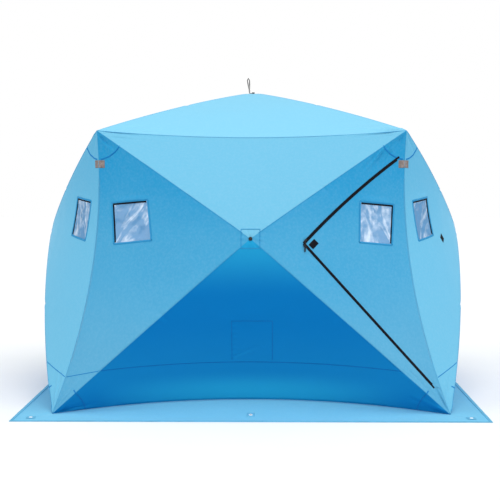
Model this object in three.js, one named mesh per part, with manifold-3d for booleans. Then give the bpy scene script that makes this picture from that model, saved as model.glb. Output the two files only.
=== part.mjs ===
// Pop-up ice fishing shelter: four fabric walls and a roof, each pushed out into a pyramid by a hub
// and four flexed poles, a zipped triangular door, clear windows and a ground skirt with stake holes.
// Millimetres, +Z up. Origin on the ground at the middle of the shelter; the door wall faces -Y.
import * as THREE from 'three';
import { mergeVertices } from 'three/addons/utils/BufferGeometryUtils.js';
import Module from 'manifold-3d';

const wasm = await Module();
wasm.setup();

// Frame
const BASE_HALF = 1285; // centre to a ground corner, along X and along Y
const TOP_HALF = 1020; // centre to a roof corner, along X and along Y
const BASE_Z = 6; // lower edge of a wall at its corners
const TOP_Z = 1840; // roof corners
const HUB_OUT = 1493; // centre to the fabric at a wall hub
const HUB_Z = 1150; // height of a wall hub
const APEX_Z = 2150; // fabric at the roof hub
const HUB_ROUND = 0.03; // share of a panel that is rounded off round its hub

// Fabric
const FABRIC = 1.5; // thickness that stands for the coated cloth and its seams
const PANEL_CELLS = 12; // grid cells across one panel
const PANEL_EDGE = 0.999; // a panel stops this share of the way to its seam
const TOUCH_GAP = 0.4; // between a piece and the cloth it sits on
const CUT_FROM = 400; // the cutting prisms run between these two distances in front of the centre
const CUT_TO = 1800;
const SEAM_BOW = 100; // corner seams bow in by this much along X and along Y
const EAVE_IN = 50; // the eaves bow in
const EAVE_DROP = 45; // and sag
const ARCH_IN = 100; // the walls' lower edges bow in
const ARCH_UP = 82; // and arch up off the ground
const FLEX_UPPER = 25; // outward flex of the upper wall poles
const FLEX_LOWER = 48; // outward flex of the lower wall poles
const FLEX_ROOF = 22; // upward flex of the roof poles

// Hubs and poles
const HUB_RADIUS = 40;
const HUB_THICK = 24;
const HUB_DEPTH = 27; // fabric to the hub's mid plane
const HUB_CORE = 14; // solid core between the slots
const HUB_BORE = 4.4;
const SLOT_WIDTH = 12;
const PIVOT_RADIUS = 27; // hub centre to a pole's pin
const PIN_RADIUS = 2.8;
const PIN_SINK = 2; // how far each end of a pin goes into the hub
const EYE_RADIUS = 8;
const EYE_BORE = 3.4;
const EYE_WIDTH = 9;
const POLE_RADIUS = 5.5;
const POLE_STEPS = 6;
const POLE_SIDES = 6;
const BOLT_RADIUS = 4;
const BOLT_HEAD = 14;
const BOLT_HEAD_THICK = 5;
const BOLT_BEVEL = [4, 3]; // across the head and down its rim
const BOLT_REACH = 34; // fabric to the bolt's inner end
const BOLT_HOLE = 5; // hole in the fabric
const BOLT_HOLE_CUT = 120;

// Pole tips, as the share of the ridge from the hub to the corner. Neighbouring panels use different
// shares, so that their tips pass each other as the poles flip.
const TIP_SHARE = {
  front: { lower: 0.965, upper: 0.975 },
  side: { lower: 0.945, upper: 0.94 },
  roof: 0.95,
};
const TIP_DEPTH = 13; // fabric to a pole's centre line at its tip

// Door, windows and sewn pads, seen from outside: x to the right, z up, on the wall's own surface
const DOOR_POINT = [335, 1115];
const DOOR_TOP = [925, 1620];
const DOOR_FOOT = [1110, 260];
const ZIP_TOP = [973, 1662];
const ZIP_FOOT = [1185, 178];
const DOOR_GAP = 1.5;
const ZIP_WIDTH = 6;
const ZIP_LIFT = [1.8, 4.2]; // lower and upper face of the zip, off the wall's inner face
const WINDOW = [[690, 1378], [674, 1128], [905, 1100], [921, 1357]];
const WINDOW_GAP = 0.5;
const WINDOW_FILM = [0.3, 1.2];
const SLIDER = [22, 10, 5];
const SLIDER_LIFT = 4.6;
const SLIDER_START = 6; // from the door's point to a closed slider
const SLIDER_CLEAR = 4; // from the door's edge to a slider, which passes beside it on a straight run
const PAD = [44, 34];
const PAD_LIFT = [1.8, 3.6];
const FLAP_PAD_AT = [398, 1112];
const WALL_PAD_AT = [-558, 1111];

// Ground skirt
const SKIRT = 232; // width at the corners
const SKIRT_THICK = 2.5;
const SKIRT_FLAT = 60; // outer strip that lies flat
const SKIRT_CELLS = 10; // cells along one side
const SKIRT_FOLD = 0.26; // the skirt's columns, as shares of its width from the hem
const SKIRT_COLUMNS = [0, SKIRT_FOLD, 0.38, 0.56, 1];
const GROMMET_HOLE = 5;
const GROMMET_RADIUS = 12;
const GROMMET_HEIGHTS = [1, 1.6, 2.2]; // inner lip, outer shoulder and crown, above its foot
const GROMMET_WALL = 1; // from the eyelet's hole to the hole in the skirt
const GROMMET_CUT = 40;
const GROMMET_CORNER = 1402; // along X and along Y

// Pull loop on the roof
const LOOP_HEIGHT = 116;
const LOOP_WIDTH = 34;
const LOOP_STRAP = 25;
const LOOP_WEB = 4;
const LOOP_AT = -24;
const LOOP_NECK = 0.45; // this and the next three are shares of the loop's height
const LOOP_SHOULDER = 0.7;
const LOOP_EYE_AT = 0.8;
const LOOP_EYE_TALL = 0.13;
const LOOP_EYE_WIDE = 0.42; // share of the loop's half width
const LOOP_HEAD_LIFT = LOOP_WEB + TOUCH_GAP; // the roof bolt's head sits on the loop's foot

// Walking to a point on a panel
const WALK_STEPS = 60;
const WALK_PACE = 0.8;
const TANGENT_REACH = 40;

const UP = new THREE.Vector3(0, 0, 1);
const LEAN = Math.atan2(BASE_HALF - TOP_HALF, TOP_Z - BASE_Z);
const WALL_NORMAL = new THREE.Vector3(0, -Math.cos(LEAN), Math.sin(LEAN));
const SIDES = ['front', 'right', 'back', 'left'];

const material = (color, roughness, metalness = 0) =>
  new THREE.MeshStandardMaterial({ color, roughness, metalness });
const MATERIALS = {
  wall: () => material(0x3f8fc6, 0.75),
  roof: () => material(0x8fd0ee, 0.7),
  skirt: () => material(0x70c3eb, 0.75),
  black: () => material(0x101014, 0.6),
  hub: () => material(0x1a1b1f, 0.5),
  pole: () => material(0x24262a, 0.35),
  film: () => material(0xd8e6ee, 0.12),
  steel: () => material(0xb9bcc0, 0.3, 0.9),
};

// ---- solids ----

function toSolid(geometry) {
  const bare = geometry.clone();
  bare.deleteAttribute('normal');
  bare.deleteAttribute('uv');
  const merged = mergeVertices(bare, 1e-3);
  const vertProperties = new Float32Array(merged.attributes.position.array);
  const triVerts = new Uint32Array(merged.index.array);
  return new wasm.Manifold(new wasm.Mesh({ numProp: 3, vertProperties, triVerts }));
}

function toGeometry(solid) {
  const mesh = solid.getMesh();
  const geometry = new THREE.BufferGeometry();
  geometry.setAttribute('position', new THREE.BufferAttribute(mesh.vertProperties, 3));
  geometry.setIndex(new THREE.BufferAttribute(mesh.triVerts, 1));
  geometry.computeVertexNormals();
  return geometry;
}

function place(geometry, position, xAxis, yAxis, zAxis) {
  const basis = new THREE.Matrix4().makeBasis(xAxis, yAxis, zAxis).setPosition(position);
  return geometry.clone().applyMatrix4(basis);
}

function rod(radius, length, sides) {
  return new THREE.CylinderGeometry(radius, radius, length, sides).rotateX(Math.PI / 2);
}

// A prism over an outline drawn in x and z, long enough to pass through the front wall.
function wallPrism(outline) {
  const shape = new THREE.Shape(outline.map(([x, z]) => new THREE.Vector2(x, z)));
  const prism = new THREE.ExtrudeGeometry(shape, { depth: CUT_TO - CUT_FROM, bevelEnabled: false });
  return toSolid(prism.rotateX(Math.PI / 2).translate(0, -CUT_FROM, 0));
}

// Moves each edge of a convex outline outwards by gap (inwards where it is negative).
function grow(outline, gap) {
  const count = outline.length;
  const area = outline.reduce((sum, [x, z], i) => {
    const [nx, nz] = outline[(i + 1) % count];
    return sum + x * nz - nx * z;
  }, 0);
  const turn = Math.sign(area);
  const lines = outline.map((start, i) => {
    const end = outline[(i + 1) % count];
    const length = Math.hypot(end[0] - start[0], end[1] - start[1]);
    const dir = [(end[0] - start[0]) / length, (end[1] - start[1]) / length];
    return { dir, at: [start[0] + turn * gap * dir[1], start[1] - turn * gap * dir[0]] };
  });
  return lines.map((line, i) => meet(lines[(i + count - 1) % count], line));
}

function meet(a, b) {
  const cross = a.dir[0] * b.dir[1] - a.dir[1] * b.dir[0];
  const k = ((b.at[0] - a.at[0]) * b.dir[1] - (b.at[1] - a.at[1]) * b.dir[0]) / cross;
  return [a.at[0] + k * a.dir[0], a.at[1] + k * a.dir[1]];
}

// ---- panels ----

// A panel is a low pyramid from its hub to its four corners. u and v run from -1 to 1; the ridges lie
// on the diagonals, and each edge bows by its own sag.
function ridgePoint({ hub, corners, flex, normal }, index, r) {
  const full = Math.hypot(1, HUB_ROUND) - HUB_ROUND;
  const eased = (Math.hypot(r, HUB_ROUND) - HUB_ROUND) / full;
  const span = corners[index].clone().sub(hub);
  const rise = span.dot(normal) * (eased - r) + 4 * flex[index] * r * (1 - r);
  return hub.clone().addScaledVector(span, r).addScaledVector(normal, rise);
}

function panelSurface(shape) {
  const { hub, sags } = shape;
  const ridge = (index, r) => ridgePoint(shape, index, r);
  return (u, v) => {
    const r = Math.max(Math.abs(u), Math.abs(v));
    if (r === 0) return hub.clone();
    const across = Math.abs(v) === r ? u : v;
    const s = (across / r + 1) / 2;
    let ends = [3, 2, 2];
    if (v === -r) ends = [0, 1, 0];
    else if (v < r && u === r) ends = [1, 2, 1];
    else if (v < r) ends = [0, 3, 3];
    const [a, b, side] = ends;
    return ridge(a, r).lerp(ridge(b, r), s).addScaledVector(sags[side], 4 * s * (1 - s) * r * r);
  };
}

// Corners and sags run round the panel from its lower left corner: lower, right, upper, left.
function wallShape() {
  const base = (sign) => new THREE.Vector3(sign * BASE_HALF, -BASE_HALF, BASE_Z);
  const top = (sign) => new THREE.Vector3(sign * TOP_HALF, -TOP_HALF, TOP_Z);
  return {
    hub: new THREE.Vector3(0, -HUB_OUT, HUB_Z),
    corners: [base(-1), base(1), top(1), top(-1)],
    flex: [FLEX_LOWER, FLEX_LOWER, FLEX_UPPER, FLEX_UPPER],
    sags: [
      new THREE.Vector3(0, ARCH_IN, ARCH_UP),
      new THREE.Vector3(-SEAM_BOW, SEAM_BOW, 0),
      new THREE.Vector3(0, EAVE_IN, -EAVE_DROP),
      new THREE.Vector3(SEAM_BOW, SEAM_BOW, 0),
    ],
    normal: WALL_NORMAL,
  };
}

function roofShape() {
  const corner = (x, y) => new THREE.Vector3(x * TOP_HALF, y * TOP_HALF, TOP_Z);
  return {
    hub: new THREE.Vector3(0, 0, APEX_Z),
    corners: [corner(-1, -1), corner(1, -1), corner(1, 1), corner(-1, 1)],
    flex: [FLEX_ROOF, FLEX_ROOF, FLEX_ROOF, FLEX_ROOF],
    sags: [
      new THREE.Vector3(0, EAVE_IN, -EAVE_DROP),
      new THREE.Vector3(-EAVE_IN, 0, -EAVE_DROP),
      new THREE.Vector3(0, -EAVE_IN, -EAVE_DROP),
      new THREE.Vector3(EAVE_IN, 0, -EAVE_DROP),
    ],
    normal: UP,
  };
}

// A thin box bent onto a panel, between two distances from the panel's inner face. Each cell is split
// along the diagonal that points at the hub, so the ridges stay sharp and stacked slabs stay parallel.
function panelSlab(shape, low, high) {
  const surface = panelSurface(shape);
  const geometry = new THREE.BoxGeometry(2, 2, 2, PANEL_CELLS, PANEL_CELLS, 1);
  const at = geometry.attributes.position;
  const index = geometry.index.array;
  const reach = (i) => Math.abs(at.getX(i)) + Math.abs(at.getY(i));
  for (let cell = 0; cell < index.length; cell += 6) {
    const [a, b, d, , c] = index.slice(cell, cell + 6);
    const flat = at.getZ(a) === at.getZ(c) && at.getZ(a) === at.getZ(b);
    const outward = Math.abs(reach(a) - reach(c)) > Math.abs(reach(b) - reach(d));
    if (flat && outward) index.set([a, b, c, a, c, d], cell);
  }
  for (let i = 0; i < at.count; i += 1) {
    const u = Math.round(at.getX(i) * PANEL_CELLS) / PANEL_CELLS;
    const v = Math.round(at.getY(i) * PANEL_CELLS) / PANEL_CELLS;
    const lift = at.getZ(i) > 0 ? high : low;
    const point = surface(u * PANEL_EDGE, v * PANEL_EDGE).addScaledVector(shape.normal, lift);
    at.setXYZ(i, point.x, point.y, point.z);
  }
  return toSolid(geometry);
}

function boltHole(shape) {
  const hole = rod(BOLT_HOLE, BOLT_HOLE_CUT, 12);
  const side = new THREE.Vector3(1, 0, 0);
  return toSolid(place(hole, shape.hub, side, shape.normal.clone().cross(side), shape.normal));
}

// ---- hubs, bolts and poles, in the frame of their panel ----

function poleFrame(shape, tip) {
  const centre = shape.hub.clone().addScaledVector(shape.normal, -HUB_DEPTH);
  const span = tip.clone().sub(shape.hub);
  const out = span.clone().addScaledVector(shape.normal, -span.dot(shape.normal)).normalize();
  const pivot = centre.clone().addScaledVector(out, PIVOT_RADIUS);
  const axis = new THREE.Vector3().crossVectors(shape.normal, out);
  return { centre, out, pivot, axis, tip, normal: shape.normal };
}

function hubGeometry(frames) {
  const { centre, normal } = frames[0];
  const side = new THREE.Vector3(1, 0, 0);
  const up = new THREE.Vector3().crossVectors(normal, side);
  const disc = place(rod(HUB_RADIUS, HUB_THICK, 16), centre, side, up, normal);
  let hub = toSolid(disc);
  hub = hub.subtract(toSolid(place(rod(HUB_BORE, 2 * HUB_THICK, 8), centre, side, up, normal)));
  for (const frame of frames) {
    const middle = centre.clone().addScaledVector(frame.out, HUB_CORE + HUB_RADIUS / 2);
    const slot = new THREE.BoxGeometry(HUB_RADIUS, SLOT_WIDTH, 2 * HUB_THICK);
    hub = hub.subtract(toSolid(place(slot, middle, frame.out, frame.axis, normal)));
    const pin = rod(PIN_RADIUS, SLOT_WIDTH + 2 * PIN_SINK, 6);
    const across = new THREE.Vector3().crossVectors(frame.axis, frame.out);
    hub = hub.add(toSolid(place(pin, frame.pivot, frame.out, across, frame.axis)));
  }
  return toGeometry(hub);
}

function boltGeometry(shape, headLift) {
  const low = headLift;
  const high = headLift + BOLT_HEAD_THICK;
  const profile = [
    new THREE.Vector2(0, -BOLT_REACH),
    new THREE.Vector2(BOLT_RADIUS, -BOLT_REACH),
    new THREE.Vector2(BOLT_RADIUS, low),
    new THREE.Vector2(BOLT_HEAD, low),
    new THREE.Vector2(BOLT_HEAD, high - BOLT_BEVEL[1]),
    new THREE.Vector2(BOLT_HEAD - BOLT_BEVEL[0], high),
    new THREE.Vector2(0, high),
  ];
  const bolt = new THREE.LatheGeometry(profile, 12).rotateX(Math.PI / 2);
  const side = new THREE.Vector3(1, 0, 0);
  const up = new THREE.Vector3().crossVectors(shape.normal, side);
  return place(bolt, shape.hub, side, up, shape.normal);
}

class FlexedLine extends THREE.Curve {
  constructor(start, end, normal, flex) {
    super();
    Object.assign(this, { start, end, normal, flex });
  }

  getPoint(t, target = new THREE.Vector3()) {
    return target
      .lerpVectors(this.start, this.end, t)
      .addScaledVector(this.normal, 4 * this.flex * t * (1 - t));
  }
}

function poleGeometry(frame, flex) {
  const eyeEdge = frame.pivot.clone().addScaledVector(frame.out, EYE_RADIUS - 2);
  const section = new THREE.Shape().absarc(0, 0, POLE_RADIUS, 0, 2 * Math.PI);
  const shaft = new THREE.ExtrudeGeometry(section, {
    steps: POLE_STEPS,
    curveSegments: POLE_SIDES / 2,
    extrudePath: new FlexedLine(eyeEdge, frame.tip, frame.normal, flex),
  });
  const across = new THREE.Vector3().crossVectors(frame.axis, frame.out);
  const eye = place(rod(EYE_RADIUS, EYE_WIDTH, 10), frame.pivot, frame.out, across, frame.axis);
  const bore = place(rod(EYE_BORE, 2 * EYE_WIDTH, 8), frame.pivot, frame.out, across, frame.axis);
  return toGeometry(toSolid(shaft).add(toSolid(eye)).subtract(toSolid(bore)));
}

// ---- the model ----

const shelter = new THREE.Group();

function addMesh(parent, name, geometry, finish) {
  const mesh = new THREE.Mesh(geometry, finish());
  mesh.name = name;
  parent.add(mesh);
}

function addPanelFrame(parent, name, shape, tips, headLift) {
  const frames = tips.map(({ share }, i) =>
    poleFrame(shape, ridgePoint(shape, i, share).addScaledVector(shape.normal, -TIP_DEPTH)));
  addMesh(parent, `hub_${name}`, hubGeometry(frames), MATERIALS.hub);
  addMesh(parent, `hub_bolt_${name}`, boltGeometry(shape, headLift), MATERIALS.black);
  frames.forEach((frame, i) => {
    addMesh(parent, `pole_${name}_${tips[i].name}`, poleGeometry(frame, shape.flex[i]), MATERIALS.pole);
  });
}

const doorOutline = [DOOR_POINT, DOOR_TOP, DOOR_FOOT];
const mirrorOutline = (outline) => outline.map(([x, z]) => [-x, z]);

// One side of the zip: a V along the door's two free edges, between two distances off the edge.
function zipOutline(near, far, top, foot) {
  const free = [DOOR_POINT, top, foot];
  const inner = grow(free, near);
  const outer = grow(free, far);
  return [inner[1], inner[0], inner[2], outer[2], outer[0], outer[1]];
}

function padOutline([x, z], [width, height], turn) {
  const half = [[-0.5, -0.5], [0.5, -0.5], [0.5, 0.5], [-0.5, 0.5]];
  return half.map(([a, b]) => [
    x + a * width * Math.cos(turn) - b * height * Math.sin(turn),
    z + a * width * Math.sin(turn) + b * height * Math.cos(turn),
  ]);
}

function onWall(lift, outline) {
  return toGeometry(panelSlab(wallShape(), ...lift).intersect(wallPrism(outline)));
}

function addWall(side, index) {
  const frame = new THREE.Group();
  frame.rotation.z = (index * Math.PI) / 2;
  shelter.add(frame);
  const shape = wallShape();
  const kind = index % 2 === 0 ? 'front' : 'side';
  const { lower, upper } = TIP_SHARE[kind];
  addPanelFrame(frame, side, shape, [
    { name: 'lower_left', share: lower },
    { name: 'lower_right', share: lower },
    { name: 'upper_right', share: upper },
    { name: 'upper_left', share: upper },
  ], FABRIC + TOUCH_GAP);

  let cloth = panelSlab(shape, 0, FABRIC).subtract(boltHole(shape));
  const hasDoor = side === 'front';
  const openings = [['left', mirrorOutline(WINDOW)]];
  if (hasDoor) cloth = cloth.subtract(wallPrism(grow(doorOutline, DOOR_GAP / 2)));
  else openings.push(['right', WINDOW]);
  for (const [name, outline] of openings) {
    cloth = cloth.subtract(wallPrism(outline));
    const film = onWall(WINDOW_FILM, grow(outline, -WINDOW_GAP));
    addMesh(frame, `window_${side}_${name}`, film, MATERIALS.film);
  }
  addMesh(frame, `wall_${side}`, toGeometry(cloth), MATERIALS.wall);
  if (side === 'right') {
    const pad = onWall(PAD_LIFT, padOutline(WALL_PAD_AT, PAD, -Math.PI / 4));
    addMesh(frame, 'door_pad_wall', pad, MATERIALS.black);
  }
}

function zipSlider(towards) {
  const dx = towards[0] - DOOR_POINT[0];
  const dz = towards[1] - DOOR_POINT[1];
  const length = Math.hypot(dx, dz);
  const away = Math.sign(dz);
  const off = SLIDER[1] / 2 + SLIDER_CLEAR;
  const along = SLIDER[0] / 2 + SLIDER_START;
  const x = DOOR_POINT[0] + (dx * along) / length - (away * dz * off) / length;
  const z = DOOR_POINT[1] + (dz * along) / length + (away * dx * off) / length;
  return { x, z, turn: Math.atan2(dz, dx) };
}

// Finds the panel's point over a given x and z by walking u and v there.
function surfaceAt(surface, x, z) {
  let u = x / BASE_HALF;
  let v = (z - HUB_Z) / HUB_Z;
  for (let i = 0; i < WALK_STEPS; i += 1) {
    const point = surface(u, v);
    u += ((x - point.x) / BASE_HALF) * WALK_PACE;
    v += ((z - point.z) / HUB_Z) * WALK_PACE;
  }
  return surface(u, v);
}

function addSlider(name, towards) {
  const { x, z, turn } = zipSlider(towards);
  const surface = panelSurface(wallShape());
  const near = (dx, dz) => surfaceAt(surface, x + dx * TANGENT_REACH, z + dz * TANGENT_REACH);
  const right = near(1, 0).sub(near(-1, 0));
  const up = near(0, 1).sub(near(0, -1));
  const normal = new THREE.Vector3().crossVectors(right, up).normalize();
  const along = right.normalize().multiplyScalar(Math.cos(turn));
  along.addScaledVector(up.normalize(), Math.sin(turn)).normalize();
  const across = new THREE.Vector3().crossVectors(normal, along);
  const body = new THREE.BoxGeometry(...SLIDER);
  const centre = near(0, 0).addScaledVector(normal, SLIDER_LIFT + SLIDER[2] / 2);
  addMesh(shelter, name, place(body, centre, along, across, normal), MATERIALS.black);
}

function addDoor() {
  const flap = panelSlab(wallShape(), 0, FABRIC)
    .intersect(wallPrism(grow(doorOutline, -DOOR_GAP / 2)))
    .subtract(wallPrism(WINDOW));
  addMesh(shelter, 'door_flap', toGeometry(flap), MATERIALS.wall);
  addMesh(shelter, 'door_window', onWall(WINDOW_FILM, grow(WINDOW, -WINDOW_GAP)), MATERIALS.film);
  const fixed = zipOutline(DOOR_GAP, DOOR_GAP + ZIP_WIDTH, ZIP_TOP, ZIP_FOOT);
  addMesh(shelter, 'zip_wall_side', onWall(ZIP_LIFT, fixed), MATERIALS.black);
  const moving = zipOutline(-DOOR_GAP, -DOOR_GAP - ZIP_WIDTH, DOOR_TOP, DOOR_FOOT);
  addMesh(shelter, 'zip_door_side', onWall(ZIP_LIFT, moving), MATERIALS.black);
  const pad = onWall(PAD_LIFT, padOutline(FLAP_PAD_AT, PAD, Math.PI / 4));
  addMesh(shelter, 'door_pad_flap', pad, MATERIALS.black);
  addSlider('zip_slider_upper', ZIP_TOP);
  addSlider('zip_slider_lower', ZIP_FOOT);
}

function addRoof() {
  const shape = roofShape();
  const names = ['front_left', 'front_right', 'back_right', 'back_left'];
  const tips = names.map((name) => ({ name, share: TIP_SHARE.roof }));
  addPanelFrame(shelter, 'roof', shape, tips, FABRIC + TOUCH_GAP + LOOP_HEAD_LIFT);
  const cloth = panelSlab(shape, 0, FABRIC).subtract(boltHole(shape));
  addMesh(shelter, 'roof', toGeometry(cloth), MATERIALS.roof);
}

// Webbing folded into a teardrop that stands on a foot, with the roof bolt through the foot.
function addPullLoop() {
  const half = LOOP_WIDTH / 2;
  const outline = new THREE.Shape();
  outline.moveTo(-LOOP_WEB, 0);
  outline.lineTo(LOOP_WEB, 0);
  const neck = LOOP_HEIGHT * LOOP_NECK;
  const shoulder = LOOP_HEIGHT * LOOP_SHOULDER;
  outline.lineTo(LOOP_WEB, neck);
  outline.bezierCurveTo(half, shoulder, half, LOOP_HEIGHT, 0, LOOP_HEIGHT);
  outline.bezierCurveTo(-half, LOOP_HEIGHT, -half, shoulder, -LOOP_WEB, neck);
  outline.closePath();
  const eye = new THREE.Path();
  const [eyeWide, eyeTall] = [half * LOOP_EYE_WIDE, LOOP_HEIGHT * LOOP_EYE_TALL];
  eye.absellipse(0, LOOP_HEIGHT * LOOP_EYE_AT, eyeWide, eyeTall, 0, 2 * Math.PI);
  outline.holes.push(eye);
  const strap = new THREE.ExtrudeGeometry(outline, {
    depth: LOOP_STRAP,
    bevelEnabled: false,
    curveSegments: 8,
  });
  strap.rotateX(Math.PI / 2).translate(LOOP_AT + LOOP_WEB, LOOP_STRAP / 2, 0);
  const footLength = BOLT_HEAD - LOOP_AT;
  const foot = new THREE.BoxGeometry(footLength, LOOP_STRAP, LOOP_WEB);
  foot.translate(LOOP_AT + footLength / 2, 0, LOOP_WEB / 2);
  const hole = rod(BOLT_HOLE, BOLT_HOLE_CUT, 12);
  const loop = toSolid(strap).add(toSolid(foot)).subtract(toSolid(hole));
  const base = APEX_Z + FABRIC + TOUCH_GAP;
  addMesh(shelter, 'pull_loop', toGeometry(loop).translate(0, 0, base), MATERIALS.black);
}

// Height of the skirt's underside: flat along its outer strip, then curving up to the arched edge.
function skirtRise(fromHem, width, arch) {
  const k = Math.max(0, fromHem - SKIRT_FLAT) / (width - SKIRT_FLAT);
  return arch * k * k;
}

// A ring with a flat closed section, laid along the four sides.
function skirtRing() {
  const columns = SKIRT_COLUMNS;
  const section = [...columns.map((c) => [c, 1]), ...columns.toReversed().map((c) => [c, 0])];
  section.push(section[0]);
  const profile = section.map(([c, t]) => new THREE.Vector2(3 - c, t));
  const cells = 4 * SKIRT_CELLS;
  const ring = new THREE.LatheGeometry(profile, cells);
  const at = ring.attributes.position;
  for (let i = 0; i < at.count; i += 1) {
    const step = Math.floor(i / section.length) % cells;
    const side = Math.floor(step / SKIRT_CELLS);
    const s = (step % SKIRT_CELLS) / SKIRT_CELLS;
    const [c, t] = section[i % section.length];
    const bow = 4 * s * (1 - s);
    const width = SKIRT + ARCH_IN * bow;
    const fromHem = c === SKIRT_FOLD ? SKIRT_FLAT : c * width;
    const reach = BASE_HALF + SKIRT - fromHem;
    const run = 2 * s - 1;
    const corner = c === 1 ? BASE_HALF : reach;
    const rise = skirtRise(fromHem, width, ARCH_UP * bow) + t * SKIRT_THICK;
    const point = new THREE.Vector3(run * corner, -reach, rise);
    point.applyAxisAngle(UP, (side * Math.PI) / 2);
    at.setXYZ(i, point.x, point.y, point.z);
  }
  return toSolid(ring);
}

// The middle grommets sit on the sloping cell between the third and the fourth column.
function grommetPlaces() {
  const places = [];
  const width = SKIRT + ARCH_IN;
  const edges = [SKIRT_COLUMNS[2] * width, SKIRT_COLUMNS[3] * width];
  const rises = edges.map((fromHem) => skirtRise(fromHem, width, ARCH_UP));
  const reach = BASE_HALF + SKIRT - (edges[0] + edges[1]) / 2;
  const tilt = Math.atan2(rises[1] - rises[0], edges[1] - edges[0]);
  SIDES.forEach((side, i) => {
    const turn = (i * Math.PI) / 2;
    const middle = new THREE.Vector3(0, -reach, (rises[0] + rises[1]) / 2).applyAxisAngle(UP, turn);
    places.push({ name: `grommet_${side}`, at: middle, turn, tilt });
    const corner = new THREE.Vector3(GROMMET_CORNER, -GROMMET_CORNER, 0).applyAxisAngle(UP, turn);
    const next = SIDES[(i + 1) % 4];
    places.push({ name: `grommet_${side}_${next}`, at: corner, turn, tilt: 0 });
  });
  return places;
}

// A rolled eyelet that stands on the skirt round its hole.
function grommetGeometry() {
  const low = SKIRT_THICK + TOUCH_GAP;
  const [lip, shoulder, crown] = GROMMET_HEIGHTS;
  const profile = [
    new THREE.Vector2(GROMMET_HOLE + GROMMET_WALL, low),
    new THREE.Vector2(GROMMET_RADIUS, low),
    new THREE.Vector2(GROMMET_RADIUS - 1.5 * GROMMET_WALL, low + shoulder),
    new THREE.Vector2(GROMMET_HOLE + 2 * GROMMET_WALL, low + crown),
    new THREE.Vector2(GROMMET_HOLE, low + lip),
    new THREE.Vector2(GROMMET_HOLE + GROMMET_WALL, low),
  ];
  return new THREE.LatheGeometry(profile, 12).rotateX(Math.PI / 2);
}

function addSkirt() {
  let ring = skirtRing();
  const seat = (geometry, { at, turn, tilt }) =>
    geometry.clone().rotateX(tilt).rotateZ(turn).translate(at.x, at.y, at.z);
  const hole = rod(GROMMET_HOLE + GROMMET_WALL, GROMMET_CUT, 12);
  for (const spot of grommetPlaces()) {
    ring = ring.subtract(toSolid(seat(hole, spot)));
    addMesh(shelter, spot.name, seat(grommetGeometry(), spot), MATERIALS.steel);
  }
  addMesh(shelter, 'ground_skirt', toGeometry(ring), MATERIALS.skirt);
}

SIDES.forEach(addWall);
addRoof();
addDoor();
addPullLoop();
addSkirt();

export default shelter;
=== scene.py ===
# Pop-up ice fishing shelter: curved cloth panels, zips, windows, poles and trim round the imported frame.
# Metres, +Z up, origin on the ground at the middle of the shelter; the door wall faces -Y.
import math

import bpy
import numpy as np
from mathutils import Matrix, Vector
from mathutils.geometry import delaunay_2d_cdt


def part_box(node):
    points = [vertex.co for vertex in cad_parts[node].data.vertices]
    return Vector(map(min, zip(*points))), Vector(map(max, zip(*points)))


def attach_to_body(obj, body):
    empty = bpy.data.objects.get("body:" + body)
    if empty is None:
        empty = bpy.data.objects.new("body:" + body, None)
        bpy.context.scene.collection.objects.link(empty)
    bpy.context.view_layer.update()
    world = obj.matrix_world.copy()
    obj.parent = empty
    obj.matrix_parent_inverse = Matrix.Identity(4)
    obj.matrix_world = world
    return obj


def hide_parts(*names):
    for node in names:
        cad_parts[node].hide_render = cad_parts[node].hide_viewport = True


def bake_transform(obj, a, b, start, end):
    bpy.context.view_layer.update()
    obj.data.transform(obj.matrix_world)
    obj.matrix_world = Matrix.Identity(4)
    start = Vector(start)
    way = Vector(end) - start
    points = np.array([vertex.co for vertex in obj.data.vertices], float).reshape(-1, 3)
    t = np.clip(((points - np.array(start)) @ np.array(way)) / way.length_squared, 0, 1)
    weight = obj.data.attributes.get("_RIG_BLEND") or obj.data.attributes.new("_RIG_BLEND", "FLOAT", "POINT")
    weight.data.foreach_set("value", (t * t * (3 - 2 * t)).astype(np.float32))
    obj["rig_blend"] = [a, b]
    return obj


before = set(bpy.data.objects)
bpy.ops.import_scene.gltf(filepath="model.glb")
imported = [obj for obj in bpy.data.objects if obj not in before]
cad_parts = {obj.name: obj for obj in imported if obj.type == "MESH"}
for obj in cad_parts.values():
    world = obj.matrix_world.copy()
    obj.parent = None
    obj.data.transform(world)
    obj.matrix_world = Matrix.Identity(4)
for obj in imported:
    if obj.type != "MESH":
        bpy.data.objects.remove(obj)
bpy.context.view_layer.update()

# ---- sizes ----

# Frame of the shelter
BASE_HALF = 1.285  # centre to a ground corner, along X and along Y
TOP_HALF = 1.020  # centre to a roof corner
BASE_Z = 0.006
TOP_Z = 1.840
HUB_OUT = 1.493  # centre to the cloth at a wall hub
HUB_Z = 1.150
APEX_Z = 2.150
HUB_ROUND = 0.03  # share of a panel that is rounded off round its hub
SEAM_BOW = 0.100  # corner seams bow in
EAVE_IN = 0.050
EAVE_DROP = 0.045
ARCH_IN = 0.100  # the walls' lower edges bow in and arch up
ARCH_UP = 0.082
FLEX_UPPER = 0.025  # outward flex of the poles
FLEX_LOWER = 0.048
FLEX_ROOF = 0.022

# Cloth
CLOTH = 0.0012  # thickness
CELLS = 120  # grid cells across one panel
FINE = 3  # each cell is split this many times where the cloth is creased
SEAM_BAND = 0.0105

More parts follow.
